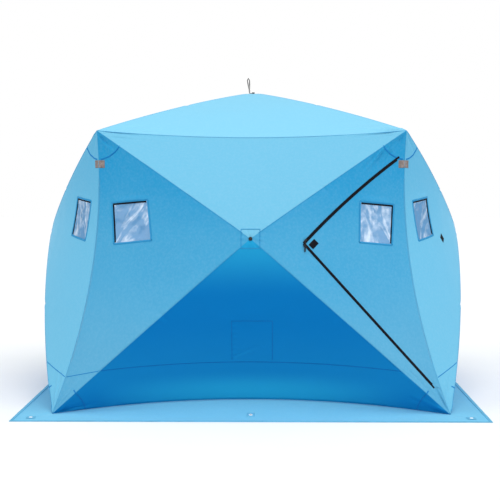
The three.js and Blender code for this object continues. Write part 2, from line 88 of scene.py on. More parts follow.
# Door, windows and pads: x to the right and z up on the wall, seen from outside
DOOR_POINT = (0.335, 1.117)
ZIP_TOP = (0.973, 1.664)
ZIP_FOOT = (1.185, 0.178)
ZIP_BOW = 0.020  # the upper run of the zip bows up
ZIP_TAPE = 0.0104
ZIP_TAPE_LOWER = 0.0084
HINGE_BLEND = 0.085  # the door's cloth turns over this far from the corner seam
WINDOWS = {
    "front_left": ((0.645, 1.134), (0.895, 1.103), (0.911, 1.362), (0.672, 1.384)),
    "front_right": ((0.703, 1.121), (0.916, 1.096), (0.931, 1.351), (0.708, 1.372)),
    "other": ((0.706, 1.142), (0.905, 1.114), (0.921, 1.371), (0.720, 1.392)),
}
HEM = 0.013
HOOK_STRIP = 0.011
LIP_BOW = 0.010
PAD = (0.050, 0.042)
FLAP_PAD_AT = (0.398, 1.112)
WALL_PAD_AT = (-0.558, 1.111)
TAG = 0.050
TAG_V = 0.753
PATCH_TOP = 0.190  # radius of the corner patches
PATCH_BASE = 0.215
HUB_PATCH = 0.059
POCKET = ((-0.120, 0.365), (0.138, 0.365), (0.138, 0.627), (-0.120, 0.627))
LOWER_SEAM_V = -0.742

# Skirt
SKIRT = 0.232  # width at the corners
SKIRT_LEVEL = 0.060  # this much beside the hem lies level
EYELET_PATCH = 0.056
EYELET_LIFT = 0.0026  # half the height of its ring
EYELET_SHADE_DISC = 0.50  # share of its radius that a dark disc of painted shade fills, standing in for the hole
EYELET_LEAN = 0.21  # the skirt rises to the walls' arched feet
EYELET_FROM_HEM = 0.156  # the middle ones; the corner ones are halfway out

# Hubs and poles
HUB_DEPTH = 0.027
PIVOT_RADIUS = 0.027
POLE_RADIUS = 0.0055
TIP_DEPTH = 0.013
BOLT_HEAD = 0.0120
BOLT_SHANK = 0.0040
BOLT_DOME = 0.0035
AXIS = 1e-5  # radius of a turned piece where it meets its axis
FERRULE = 0.060
CLOTH_TIP = 0.935  # share of a pole from its hub where the cloth stops moving
TIP_SHARE = {"front": (0.965, 0.975), "side": (0.945, 0.940), "roof": (0.950, 0.950)}

SIDES = ("front", "right", "back", "left")
LEAN = math.atan2(BASE_HALF - TOP_HALF, TOP_Z - BASE_Z)
WALL_NORMAL = np.array([0.0, -math.cos(LEAN), math.sin(LEAN)])
UP = np.array([0.0, 0.0, 1.0])

# Camera, at the distance where the shelter fills the frame
CAMERA_DISTANCE = 9.197
CAMERA_HEIGHT = 1.522
CAMERA_PITCH = 0.0573  # looking down
CAMERA_YAW = 0.0122
CAMERA_LENS = 89.07
CAMERA_SHIFT = -0.0067
FLOOR_REACH = 40.0


# ---- panels ----

class Panel:
    """A low pyramid of cloth from its hub to its four corners. u and v run from -1 to 1."""

    def __init__(self, name, hub, corners, flex, sags, normal, turn, tall):
        self.name = name
        self.hub = np.array(hub, float)
        self.corners = np.array(corners, float)
        self.flex = flex
        self.sags = np.array(sags, float)
        self.normal = normal
        self.turn = turn
        self.tall = tall  # the axis that v follows: 2 on a wall, 1 on the roof
        self.body = "hub_" + name

    def ridge(self, index, r):
        r = np.asarray(r, float)
        full = math.hypot(1, HUB_ROUND) - HUB_ROUND
        eased = (np.hypot(r, HUB_ROUND) - HUB_ROUND) / full
        span = self.corners[index] - self.hub
        rise = span @ self.normal * (eased - r) + 4 * self.flex[index] * r * (1 - r)
        return self.hub + r[..., None] * span + rise[..., None] * self.normal

    def at(self, u, v):
        u, v = np.broadcast_arrays(np.asarray(u, float), np.asarray(v, float))
        r = np.maximum(np.abs(u), np.abs(v))
        flat = np.abs(v) >= r
        across = np.where(flat, u, v)
        s = (across / np.maximum(r, 1e-9) + 1) / 2
        ridges = np.stack([self.ridge(i, r) for i in range(4)])
        point = np.zeros(u.shape + (3,))
        regions = ((flat & (v < 0), 0, 1, 0), (~flat & (u > 0), 1, 2, 1),
                   (flat & (v >= 0), 3, 2, 2), (~flat & (u <= 0), 0, 3, 3))
        for mask, a, b, side in regions:
            t = s[..., None]
            sag = self.sags[side] * (4 * s * (1 - s) * r * r)[..., None]
            point = np.where(mask[..., None], (1 - t) * ridges[a] + t * ridges[b] + sag, point)
        return point

    def find(self, x, z):
        """The u and v of the point over a given x and z, or x and y on the roof."""
        x, z = np.broadcast_arrays(np.asarray(x, float), np.asarray(z, float))
        wide = BASE_HALF if self.tall == 2 else TOP_HALF
        middle, high = (HUB_Z, HUB_Z) if self.tall == 2 else (0.0, TOP_HALF)
        u, v = x / wide, (z - middle) / high
        for _ in range(50):
            point = self.at(u, v)
            u = u + (x - point[..., 0]) / wide * 0.8
            v = v + (z - point[..., self.tall]) / high * 0.8
        return u, v

    def surface(self, u, v, lift=0.0):
        """Points on the finished cloth, with its folds, in the shelter's frame."""
        point = self.at(u, v)
        rise = drape(self, u, v, point[..., 0], point[..., self.tall]) + lift
        return quarter_turns(point + rise[..., None] * self.normal, self.turn)


def quarter_turns(points, turn):
    c, s = ((1, 0), (0, 1), (-1, 0), (0, -1))[turn]
    x, y, z = points[..., 0], points[..., 1], points[..., 2]
    return np.stack([c * x - s * y, s * x + c * y, z], axis=-1)


def wall_panel(name, turn):
    base, top = BASE_HALF, TOP_HALF
    corners = ((-base, -base, BASE_Z), (base, -base, BASE_Z), (top, -top, TOP_Z), (-top, -top, TOP_Z))
    sags = ((0, ARCH_IN, ARCH_UP), (-SEAM_BOW, SEAM_BOW, 0),
            (0, EAVE_IN, -EAVE_DROP), (SEAM_BOW, SEAM_BOW, 0))
    flex = (FLEX_LOWER, FLEX_LOWER, FLEX_UPPER, FLEX_UPPER)
    return Panel(name, (0, -HUB_OUT, HUB_Z), corners, flex, sags, WALL_NORMAL, turn, 2)


def roof_panel():
    top = TOP_HALF
    corners = ((-top, -top, TOP_Z), (top, -top, TOP_Z), (top, top, TOP_Z), (-top, top, TOP_Z))
    sags = ((0, EAVE_IN, -EAVE_DROP), (-EAVE_IN, 0, -EAVE_DROP),
            (0, -EAVE_IN, -EAVE_DROP), (EAVE_IN, 0, -EAVE_DROP))
    return Panel("roof", (0, 0, APEX_Z), corners, (FLEX_ROOF,) * 4, sags, UP, 0, 1)


# ---- how the cloth hangs ----

def ripple(x, z, size, seed):
    """A smooth random field between about -1 and 1, with bumps of the given size."""
    draw = np.random.default_rng(seed)
    total = np.zeros(np.shape(x))
    for _ in range(7):
        angle, phase, pitch = draw.uniform(0, math.pi), draw.uniform(0, 2 * math.pi), draw.uniform(0.6, 1.5)
        wave = 2 * math.pi * pitch / (2 * size)
        total = total + np.sin((x * math.cos(angle) + z * math.sin(angle)) * wave + phase)
    return total / 4


def fold(x, z, start, end, width, depth):
    """A crease from start to end that dies away along its length, with a soft roll beside it."""
    dx, dz = end[0] - start[0], end[1] - start[1]
    length = math.hypot(dx, dz)
    along = ((x - start[0]) * dx + (z - start[1]) * dz) / length
    across = ((x - start[0]) * dz - (z - start[1]) * dx) / length
    t = np.clip(along / length, 0, 1)
    beyond = (along < -width) | (along > length + width)
    fade = np.where(beyond, 0.0, (1 - t) ** 0.6 * np.minimum(1, 0.25 + 4 * t))
    fade = fade * np.exp(-(np.minimum(along, 0) / width) ** 2)
    spread = width * (0.6 + 0.7 * t)
    crease = -np.exp(-(across / spread) ** 2)
    roll = 0.6 * np.exp(-((across - 2.0 * spread) / (1.2 * spread)) ** 2)
    return depth * fade * (crease + roll)


def corner_folds(x, z, corner, towards, spread, count, length, width, depth, seed):
    """A fan of creases that runs out from a corner of a panel."""
    draw = np.random.default_rng(seed)
    total = np.zeros(np.shape(x))
    middle = math.atan2(towards[1] - corner[1], towards[0] - corner[0])
    for i in range(count):
        angle = middle + spread * ((i + 0.5) / count - 0.5) + draw.uniform(-0.03, 0.03)
        reach = length * draw.uniform(0.6, 1.1)
        start = (corner[0] + 0.03 * math.cos(angle), corner[1] + 0.03 * math.sin(angle))
        end = (corner[0] + reach * math.cos(angle), corner[1] + reach * math.sin(angle))
        total = total + fold(x, z, start, end, width * draw.uniform(0.7, 1.2), depth * draw.uniform(0.6, 1.2))
    return total


# Single creases on the door wall: start, end, half width, depth.
FRONT_FOLDS = (
    ((-1.000, 1.822), (-0.520, 1.792), 0.010, 0.010),
    ((-0.935, 1.798), (-0.620, 1.768), 0.009, 0.007),
    ((-1.000, 1.806), (-0.880, 1.712), 0.012, 0.012),
    ((1.000, 1.806), (0.880, 1.712), 0.012, 0.010),
    ((0.970, 1.818), (0.760, 1.772), 0.008, 0.006),
    ((0.960, 1.826), (0.700, 1.806), 0.008, 0.005),
    ((0.890, 1.738), (0.735, 1.540), 0.008, 0.0075),
    ((0.915, 1.735), (0.790, 1.575), 0.007, 0.0065),
    ((0.932, 1.722), (0.832, 1.600), 0.007, 0.0060),
    ((0.862, 1.715), (0.770, 1.570), 0.007, 0.0065),
    ((0.822, 1.700), (0.705, 1.565), 0.007, 0.0060),
    ((0.980, 1.790), (0.925, 1.690), 0.008, 0.006),
    ((-0.128, 0.385), (0.060, 0.468), 0.010, 0.0050),
    ((0.335, 1.060), (0.500, 0.960), 0.012, 0.004),
    ((0.980, 0.330), (1.250, 0.050), 0.010, 0.007),
    ((0.860, 0.400), (1.130, 0.160), 0.009, 0.006),
)


def drape(panel, u, v, x, z):
    """How far the cloth stands off its plain panel, along the panel's normal."""
    r = np.maximum(np.abs(u), np.abs(v))
    inner = np.minimum(np.abs(u), np.abs(v)) / np.maximum(r, 1e-6)
    open_cloth = np.clip(4 * r * (1 - r), 0, 1) * np.clip(3 * (1 - inner), 0, 1)
    seed = 11 * len(panel.name) + panel.turn
    rise = 0.0035 * open_cloth * ripple(x, z, 0.30, seed)
    rise = rise + 0.0012 * open_cloth * ripple(x, z, 0.09, seed + 50)
    rise = rise + hub_pleats(panel, u, v) + pole_ties(panel, u, v, seed)
    if panel.tall == 2:
        rise = rise + wall_corners(x, z, seed) + window_lips(panel, x, z)
        if panel.name == "front":
            for start, end, width, depth in FRONT_FOLDS:
                rise = rise + fold(x, z, start, end, width, depth)
            rise = rise + pocket_ripples(x, z)
    else:
        for sx in (-1, 1):
            for sy in (-1, 1):
                corner = (sx * TOP_HALF, sy * TOP_HALF)
                for towards, spread, depth, more in ((0.80, 0.30, 0.0095, 7), (0.88, 0.20, 0.0085, 9)):
                    aim = (0.35 * sx, towards * sy)
                    rise = rise + corner_folds(x, z, corner, aim, spread, 2, 0.48, 0.012, depth, seed + more)
    edge = np.clip((1 - r) / 0.010, 0, 1)
    return rise * edge


def hub_pleats(panel, u, v):
    """Short wrinkles that run out from the hub's bolt."""
    wide, high = (BASE_HALF, HUB_Z) if panel.tall == 2 else (TOP_HALF, TOP_HALF)
    x, z = u * wide, v * high
    distance = np.hypot(x, z)
    angle = np.arctan2(z, x)
    shape = np.exp(-((distance - 0.060) / 0.035) ** 2)
    dimple = -0.004 * np.exp(-(distance / 0.028) ** 2)
    return shape * (0.0011 * np.sin(9 * angle + 0.6) + 0.0006 * np.sin(16 * angle)) + dimple


def pole_ties(panel, u, v, seed):
    """Puckers where ties inside hold the cloth to the middle of each pole."""
    draw = np.random.default_rng(seed + 3)
    total = np.zeros(np.shape(u))
    wide, high = (BASE_HALF, HUB_Z) if panel.tall == 2 else (TOP_HALF, TOP_HALF)
    for su, sv in ((-1, -1), (1, -1), (1, 1), (-1, 1)):
        share = 0.44 + draw.uniform(-0.02, 0.02)
        depth = draw.uniform(0.0022, 0.0042)
        x, z = (u - su * share) * wide, (v - sv * share) * high
        along = (x * su + z * sv) / math.sqrt(2)
        across = (x * sv - z * su) / math.sqrt(2)
        total = total - depth * np.exp(-(along / 0.016) ** 2 - (across / 0.045) ** 2)
        total = total + 0.4 * depth * np.exp(-((along - 0.03) / 0.016) ** 2 - (across / 0.05) ** 2)
    return total


# Fans of creases at a wall's corners: the corner, a point they run towards, then their spread, count,
# length, half width and depth.
WALL_FANS = (
    ((BASE_HALF, BASE_Z), (1.06, 0.30), 0.42, 4, 0.30, 0.009, 0.0095),
    ((BASE_HALF, BASE_Z), (0.80, 0.16), 0.24, 3, 0.28, 0.010, 0.0095),
    ((TOP_HALF, TOP_Z), (0.80, 1.52), 0.40, 3, 0.26, 0.010, 0.0055),
    ((TOP_HALF, TOP_Z), (0.50, 1.78), 0.08, 2, 0.40, 0.009, 0.0060),
)


def wall_corners(x, z, seed):
    total = np.zeros(np.shape(x))
    for sign in (-1, 1):
        for n, (at, towards, *fan) in enumerate(WALL_FANS):
            aim = (sign * towards[0], towards[1])
            total = total + corner_folds(x, z, (sign * at[0], at[1]), aim, *fan, seed + 20 + sign + 2 * n)
    return total


def window_places(panel):
    """The side, its sign and the outline's corners for each window on a wall."""
    if panel.tall != 2:
        return ()
    return [(side, sign, mirrored(WINDOWS.get(panel.name + "_" + side, WINDOWS["other"]), sign))
            for side, sign in (("left", -1), ("right", 1))]


def window_lips(panel, x, z):
    total = np.zeros(np.shape(x))
    for _, _, corners in window_places(panel):
        (xl, _), _, (xr, zr), (_, zl) = corners
        t = (x - xl) / (xr - xl)
        top = zl + (zr - zl) * t
        over = np.exp(-((z - top - 0.014) / 0.014) ** 2) * np.clip(4 * t * (1 - t), 0, 1)
        total = total + LIP_BOW * over
    return total


def pocket_ripples(x, z):
    (x0, z0), _, (_, z1), _ = POCKET
    side = np.exp(-((x - x0 - 0.012) / 0.022) ** 2) * ((z > z0) & (z < z1))
    return 0.0011 * side * np.sin((z - z0) * 2 * math.pi / 0.036)


# ---- meshes ----

def new_object(name, points, faces, material, smooth=True):
    mesh = bpy.data.meshes.new(name)
    mesh.from_pydata(np.asarray(points).reshape(-1, 3).tolist(), [], faces)
    mesh.polygons.foreach_set("use_smooth", [smooth] * len(mesh.polygons))
    mesh.materials.append(material)
    mesh.update()
    obj = bpy.data.objects.new(name, mesh)
    bpy.context.collection.objects.link(obj)
    return obj


def point_values(obj, name, values):
    attribute = obj.data.attributes.get(name) or obj.data.attributes.new(name, "FLOAT", "POINT")
    attribute.data.foreach_set("value", np.asarray(values, np.float32).ravel())


def face_values(obj, name, values):
    attribute = obj.data.attributes.new(name, "FLOAT", "FACE")
    attribute.data.foreach_set("value", np.asarray(values, np.float32).ravel())


def point_vectors(obj, name, x, y):
    attribute = obj.data.attributes.new(name, "FLOAT_VECTOR", "POINT")
    stacked = np.stack([np.ravel(x), np.ravel(y), np.zeros(np.size(x))], axis=-1)
    attribute.data.foreach_set("vector", stacked.astype(np.float32).ravel())


def thicken(obj, thickness=CLOTH, offset=1.0):
    shell = obj.modifiers.new("Thickness", "SOLIDIFY")
    shell.thickness = thickness
    shell.offset = offset


def follow_panel(obj, panel, u, v):
    """The piece moves with its panel: not at all on the panel's edge, and as far as the hub at the hub.

    Over a pole the cloth keeps still out to the pole's tip, so that it moves as the pole does.
    """
    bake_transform(obj, "root", panel.body, (0, 0, 0), (0, 0, 1))
    r = np.maximum(np.abs(u), np.abs(v))
    over_pole = (np.minimum(np.abs(u), np.abs(v)) / np.maximum(r, 1e-6)) ** 6
    with_pole = np.clip((CLOTH_TIP - r) / CLOTH_TIP, 0, 1)
    point_values(obj, "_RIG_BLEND", (1 - r) * (1 - over_pole) + with_pole * over_pole)


def follow_door(obj, points):
    """The piece swings with the door; the cloth beside the corner seam only bends."""
    top, foot = Vector(DOOR_AXIS[0]), Vector(DOOR_AXIS[1])
    line = (top - foot).normalized()
    offset = np.asarray(points).reshape(-1, 3) - np.array(foot)
    away = offset - np.outer(offset @ np.array(line), np.array(line))
    t = np.clip((np.linalg.norm(away, axis=1) - 0.010) / HINGE_BLEND, 0, 1)
    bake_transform(obj, "door_panel", "door", foot, foot + Vector((-1, 0, 0)))
    point_values(obj, "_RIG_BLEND", t * t * (3 - 2 * t))


def inside(outline, x, y):
    """Which points lie inside a closed outline."""
    hit = np.zeros(np.shape(x), bool)
    px, py = np.asarray(outline)[:, 0], np.asarray(outline)[:, 1]
    for i in range(len(px)):
        j = i - 1
        crosses = (py[i] > y) != (py[j] > y)
        slope = (px[j] - px[i]) / (py[j] - py[i] if py[j] != py[i] else 1e-12)
        hit ^= crosses & (x < slope * (y - py[i]) + px[i])
    return hit


def along_line(points, step=0.012):
    """The same line with points about a step apart."""
    out = []
    for (x0, z0), (x1, z1) in zip(points[:-1], points[1:]):
        count = max(2, int(math.hypot(x1 - x0, z1 - z0) / step))
        t = np.arange(count) / count
        out += list(zip(x0 + (x1 - x0) * t, z0 + (z1 - z0) * t))
    out.append(points[-1])
    return np.array(out)


def bowed(start, end, bow, count=40):
    t = np.linspace(0, 1, count)
    dx, dz = end[0] - start[0], end[1] - start[1]
    length = math.hypot(dx, dz)
    lift = 4 * bow * t * (1 - t)
    return np.stack([start[0] + dx * t - dz / length * lift, start[1] + dz * t + dx / length * lift], axis=-1)


def mirrored(outline, sign):
    return [(sign * x, z) for x, z in outline]


def sides_of(corners, step=0.012):
    """The four sides of an outline, each as a line with close points."""
    return [along_line([corners[i], corners[(i + 1) % 4]], step) for i in range(4)]


def unit(vectors):
    return vectors / np.linalg.norm(vectors, axis=-1, keepdims=True)


def box_of(node):
    low, high = (np.array(corner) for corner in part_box(node))
    return low, high, (low + high) / 2


def grid_faces(count):
    """Faces of a square grid of points, count on each side."""
    return [(i * count + j, (i + 1) * count + j, (i + 1) * count + j + 1, i * count + j + 1)
            for i in range(count - 1) for j in range(count - 1)]


def sleeve(count, ring, closed=False):
    """Faces between count rings of points; open ends are capped, or the last ring meets the first."""
    faces = []
    for i in range(count if closed else count - 1):
        n = (i + 1) % count
        for k in range(ring):
            m = (k + 1) % ring
            faces.append((i * ring + k, i * ring + m, n * ring + m, n * ring + k))
    if not closed:
        faces.append(tuple(range(ring))[::-1])
        faces.append(tuple((count - 1) * ring + k for k in range(ring)))
    return faces


def creased(panel, u, v):
    """Where the cloth has creases that need small triangles."""
    wide, high = (BASE_HALF, HUB_Z) if panel.tall == 2 else (TOP_HALF, TOP_HALF)
    au, av = np.abs(u), np.abs(v)
    near = np.hypot(u * wide, v * high) < 0.13
    near |= np.hypot((1 - au) * wide, (1 - av) * high) < 0.40
    near |= np.hypot((au - 0.44) * wide, (av - 0.44) * high) < 0.07
    if panel.tall == 2:
        x, z = u * wide * (1 - 0.13 * np.clip(v, 0, 1)), HUB_Z + v * high * np.where(v > 0, 0.6, 1.0)
        for _, _, corners in window_places(panel):
            left, right = sorted((corners[0][0], corners[1][0]))
            near |= (x > left - 0.05) & (x < right + 0.05) & (np.abs(z - corners[3][1]) < 0.06)
        if panel.name == "front":
            near |= (np.abs(x) < 0.16) & (np.abs(z - 0.50) < 0.16)
            near |= (np.abs(x) > 0.50) & (z > 1.62)
            near |= (x > 0.68) & (x < 0.94) & (z > 1.50)
    return near


def split_panel(panel, outlines):
    """Triangles of the panel in u and v that follow each outline; outlines are closed lines in u and v."""
    count = CELLS * FINE
    steps = np.linspace(-1, 1, count + 1)
    gu, gv = np.meshgrid(steps, steps, indexing="ij")
    i, j = np.meshgrid(np.arange(count + 1), np.arange(count + 1), indexing="ij")
    coarse = (i % FINE == 0) & (j % FINE == 0)
    diagonal = (i == j) | (i + j == count)
    rim = (i == 0) | (j == 0) | (i == count) | (j == count)
    chosen = coarse | diagonal | (creased(panel, gu, gv) & ~rim)
    points = np.stack([gu[chosen], gv[chosen]], axis=-1)
    keep = np.ones(len(points), bool)
    clear = 0.35 * (steps[1] - steps[0])
    for outline in outlines:
        for p in outline:
            keep &= np.hypot(points[:, 0] - p[0], points[:, 1] - p[1]) > clear
    points = points[keep | (diagonal | rim)[chosen]]
    where = {(round(a, 6), round(b, 6)): n for n, (a, b) in enumerate(points)}
    edges = []
    for sign in (1, -1):
        for a, b in zip(steps[:-1], steps[1:]):
            edges.append((where[(round(a, 6), round(sign * a, 6))], where[(round(b, 6), round(sign * b, 6))]))
    coords = [Vector(p) for p in points]
    for outline in outlines:
        first = len(coords)
        coords += [Vector(p) for p in outline]
        edges += [(first + n, first + (n + 1) % len(outline)) for n in range(len(outline))]
    flat, _, faces, _, _, _ = delaunay_2d_cdt(coords, edges, [], 0, 1e-6)
    return np.array([tuple(p) for p in flat]), np.array(faces)


def panel_zone(panel, u, v):
    """0 in a wall's lower triangle, 1 in its side triangles, 2 in its upper triangle and on the roof."""
    if panel.tall == 1:
        return np.full(np.shape(u), 2.0)
    return np.where(np.abs(v) >= np.abs(u), np.where(v < 0, 0.0, 2.0), 1.0)


def cloth_from(name, panel, flat, faces, material):
    """A piece of the panel's cloth from some of its triangles, as one curved sheet."""
    used, index = np.unique(faces, return_inverse=True)
    u, v = flat[used, 0], flat[used, 1]
    points = panel.surface(u, v)
    tri = index.reshape(-1, 3)
    a, b, c = points[tri[0, 0]], points[tri[0, 1]], points[tri[0, 2]]
    outward = quarter_turns(panel.normal[None, :], panel.turn)[0]
    if np.cross(b - a, c - a) @ outward < 0:
        tri = tri[:, ::-1]
    obj = new_object(name, points, tri.tolist(), material)
    plain = panel.at(u, v)
    point_vectors(obj, "lay", plain[:, 0], plain[:, panel.tall])
    point_values(obj, "reach", np.maximum(np.abs(u), np.abs(v)))
    face_values(obj, "zone", panel_zone(panel, *flat[faces].mean(axis=1).T))
    thicken(obj)
    return obj, u, v, points


def band(panel, path, width, low, high, in_uv):
    """A flat band that lies along a path on the cloth, with its rounded section closed all round."""
    path = np.asarray(path, float)
    tangent = unit(np.gradient(path, axis=0))
    side = np.stack([tangent[:, 1], -tangent[:, 0]], axis=-1)
    crown = high + 0.15 * (high - low)
    section = ((-0.5, low), (-0.44, high), (0.0, crown), (0.44, high), (0.5, low))
    rows, us, vs = [], [], []
    for share, lift in section:
        moved = path + side * (share * width)
        u, v = (moved[:, 0], moved[:, 1]) if in_uv else panel.find(moved[:, 0], moved[:, 1])
        u, v = np.clip(u, -1, 1), np.clip(v, -1, 1)
        rows.append(panel.surface(u, v, lift))
        us.append(u)
        vs.append(v)
    count, ring = len(path), len(section)
    points = np.stack(rows, axis=1).reshape(-1, 3)
    length = np.concatenate([[0], np.cumsum(np.linalg.norm(np.diff(points[2::ring], axis=0), axis=1))])
    along = np.repeat(length, ring)
    across = np.tile([s for s, _ in section], count)
    return points, sleeve(count, ring), np.stack(us, 1).ravel(), np.stack(vs, 1).ravel(), along, across


def bands(name, panel, paths, width, low, high, material, in_uv=False):
    """Several bands as one piece; width is one number, or one for each band."""
    widths = np.broadcast_to(width, len(paths))
    parts = [band(panel, path, wide, low, high, in_uv) for path, wide in zip(paths, widths)]
    points = np.concatenate([p[0] for p in parts])
    faces, first = [], 0
    for part in parts:
        faces += [tuple(first + i for i in face) for face in part[1]]
        first += len(part[0])
    obj = new_object(name, points, faces, material)
    u, v = np.concatenate([p[2] for p in parts]), np.concatenate([p[3] for p in parts])
    along = np.concatenate([p[4] for p in parts])
    across = np.concatenate([p[5] * wide for p, wide in zip(parts, widths)])
    point_vectors(obj, "lay", along, across)
    return obj, u, v, points


# ---- materials ----

class Shader:
    """A material with a Principled shader, and short calls that add nodes to it."""

    def __init__(self, name, **sockets):
        self.material = bpy.data.materials.new(name)
        self.material.use_nodes = True
        self.tree = self.material.node_tree
        self.bsdf = self.tree.nodes["Principled BSDF"]
        for socket, value in sockets.items():
            self.bsdf.inputs[socket.replace("_", " ")].default_value = value

    def node(self, kind, settings=None, **inputs):
        made = self.tree.nodes.new(kind)
        for key, value in (settings or {}).items():
            setattr(made, key, value)
        for key, value in inputs.items():
            socket = made.inputs[int(key[1:])] if key[0] == "i" and key[1:].isdigit() else made.inputs[key]
            if isinstance(value, bpy.types.NodeSocket):
                self.tree.links.new(value, socket)
            else:
                socket.default_value = value
        return made.outputs

    def value(self, name):
        return self.node("ShaderNodeAttribute", {"attribute_name": name})["Fac"]

    def vector(self, name):
        return self.node("ShaderNodeAttribute", {"attribute_name": name})["Vector"]

    def place(self):
        return self.node("ShaderNodeTexCoord")["Object"]

    def noise(self, where, scale, detail=3.0, rough=0.5):
        made = self.node("ShaderNodeTexNoise", Vector=where, Scale=scale, Detail=detail, Roughness=rough)
        return made["Fac"]

    def math(self, operation, a, b=0.0, clamp=False):
        return self.node("ShaderNodeMath", {"operation": operation, "use_clamp": clamp}, i0=a, i1=b)["Value"]

    def span(self, value, low, high, to_low, to_high):
        made = self.node("ShaderNodeMapRange", {"interpolation_type": "SMOOTHSTEP"}, Value=value)
        node = made["Result"].node
        for key, number in (("From Min", low), ("From Max", high), ("To Min", to_low), ("To Max", to_high)):
            node.inputs[key].default_value = number
        return made["Result"]

    def mix(self, factor, a, b, blend="MIX"):
        node = self.tree.nodes.new("ShaderNodeMix")
        node.data_type = "RGBA"
        node.blend_type = blend
        for index, value in ((0, factor), (6, a), (7, b)):
            if isinstance(value, bpy.types.NodeSocket):
                self.tree.links.new(value, node.inputs[index])
            else:
                node.inputs[index].default_value = value
        return node.outputs[2]

    def bump(self, height, strength, distance, under=None):
        made = self.node("ShaderNodeBump", Height=height, Strength=strength, Distance=distance)
        if under is not None:
            self.tree.links.new(under, made["Normal"].node.inputs["Normal"])
        return made["Normal"]

    def join(self, output, socket):
        self.tree.links.new(output, self.bsdf.inputs[socket])


def weave(shader, where, pitch):
    """Crossed threads as a height between 0 and 1."""
    heights = []
    for axis in ("X", "Y"):
        wave = shader.node("ShaderNodeTexWave", {"bands_direction": axis, "wave_profile": "SIN"},
                           Vector=where, Scale=1 / (pitch * 3.2), Distortion=0.4, Detail=1.0)["Fac"]
        heights.append(wave)
    return shader.math("MULTIPLY", heights[0], heights[1])


def rgb(r, g, b):
    return (r, g, b, 1.0)


def scaled(colour, share):
    return tuple(share * c for c in colour[:3]) + (1.0,)


def cloth_material(name, top, middle, low, shaded_tone, pale):
    """Coated woven cloth, with painted shade in a wall's lower triangle and painted light, a pale tone, in
    its upper one.

    The side triangles take painted light and shade by height, from one tone at the ground to another at the
    eaves.
    """
    shader = Shader(name, Sheen_Roughness=0.30, Sheen_Tint=rgb(0.60, 0.85, 1.0), Specular_IOR_Level=0.06)
    place = shader.place()
    lay = shader.vector("lay")
    height = shader.node("ShaderNodeSeparateXYZ", Vector=place)["Z"]
    zone = shader.value("zone")
    # Mask of a wall's lower triangle, where shade is painted
    under = shader.span(zone, 0.4, 0.6, 1.0, 0.0)
    patches = shader.noise(place, 1.6, 4.0, 0.55)
    dust = shader.noise(place, 60.0, 3.0, 0.6)
    # Painted light and shade: the tone changes with height
    tone = shader.mix(shader.span(height, 0.30, 1.05, 0.0, 1.0), low, middle)
    tone = shader.mix(shader.span(height, 1.05, 1.65, 0.0, 1.0), tone, top)
    tone = shader.mix(shader.span(patches, 0.35, 0.70, 0.0, 0.10), tone, pale)
    # Painted light: a wall's upper triangle, the roof and the skirt take the pale lit tone
    tone = shader.mix(shader.span(zone, 1.4, 1.6, 0.0, 1.0), tone, pale)
    tone = shader.mix(shader.span(dust, 0.35, 0.75, 0.0, 0.03), tone, rgb(0.80, 0.90, 0.96))
    # Painted shade in the lower triangle
    shader.join(shader.mix(under, tone, shaded_under_tone(shader, shaded_tone)), "Base Color")
    shader.join(shader.span(patches, 0.3, 0.7, 0.55, 0.70), "Roughness")
    shader.join(shader.span(under, 0.0, 1.0, 0.30, 0.0), "Sheen Weight")
    crinkle = shader.noise(lay, 11.0, 3.0, 0.5)
    threads = weave(shader, lay, 0.0016)
    soft = shader.bump(crinkle, 0.10, 0.004)
    shader.join(shader.bump(threads, 0.12, 0.0003, soft), "Normal")
    return shader.material


def shaded_under_tone(shader, shaded_tone):
    """Painted shade for the lower triangle, which faces down: a deep shaded tone, with painted light beside
    the hub and a painted glow of floor bounce in the middle of its bottom edge.
    """
    reach = shader.value("reach")
    side = shader.node("ShaderNodeSeparateXYZ", Vector=shader.vector("lay"))["X"]
    from_middle = shader.math("POWER", shader.math("ABSOLUTE", side), 2.0)
    middle = shader.math("SUBTRACT", 1.0, from_middle, clamp=True)
    tone = shader.mix(shader.span(reach, 0.00, 0.34, 0.62, 0.0), shaded_tone, LIT_BLUE)
    tone = shader.mix(shader.span(reach, 0.45, 0.90, 0.0, 0.24), tone, LIT_BLUE)
    # Painted light bounced off the floor, strongest in the middle of the bottom edge
    painted_bounce = shader.math("MULTIPLY", middle, shader.span(reach, 0.79, 0.95, 0.0, 1.0))
    return shader.mix(painted_bounce, tone, LIT_BLUE)


def band_material(name, colour, stitch, pitch=0.008):
    """A folded tape with two rows of stitches; lay holds how far along and across a point is."""
    shader = Shader(name, Roughness=0.65, Specular_IOR_Level=0.12)
    lay = shader.node("ShaderNodeSeparateXYZ", Vector=shader.vector("lay"))
    run = shader.math("FRACT", shader.math("DIVIDE", lay["X"], pitch))
    dash = shader.span(run, 0.62, 0.70, 1.0, 0.0)
    off = shader.math("ABSOLUTE", lay["Y"])
    row = shader.math("ABSOLUTE", shader.math("SUBTRACT", off, 0.0024))
    thread = shader.math("MULTIPLY", dash, shader.span(row, 0.0004, 0.0009, 1.0, 0.0))
    patches = shader.noise(shader.place(), 9.0)
    tone = shader.mix(shader.span(patches, 0.3, 0.7, 0.0, 0.35), colour, scaled(colour, 0.7))
    shader.join(shader.mix(thread, tone, stitch), "Base Color")
    threads = weave(shader, shader.place(), 0.0018)
    shader.join(shader.bump(thread, 0.6, 0.0006, shader.bump(threads, 0.3, 0.0003)), "Normal")
    return shader.material


def webbing_material(name, colour, pitch=0.0022):
    shader = Shader(name, Roughness=0.8, Specular_IOR_Level=0.15)
    place = shader.place()
    dust = shader.noise(place, 45.0, 4.0)
    tone = shader.mix(shader.span(dust, 0.35, 0.7, 0.0, 0.5), colour, scaled(colour, 2.2))
    shader.join(tone, "Base Color")
    shader.join(shader.span(dust, 0.3, 0.7, 0.6, 0.8), "Roughness")
    shader.join(shader.bump(weave(shader, place, pitch), 0.7, 0.0006), "Normal")
    return shader.material


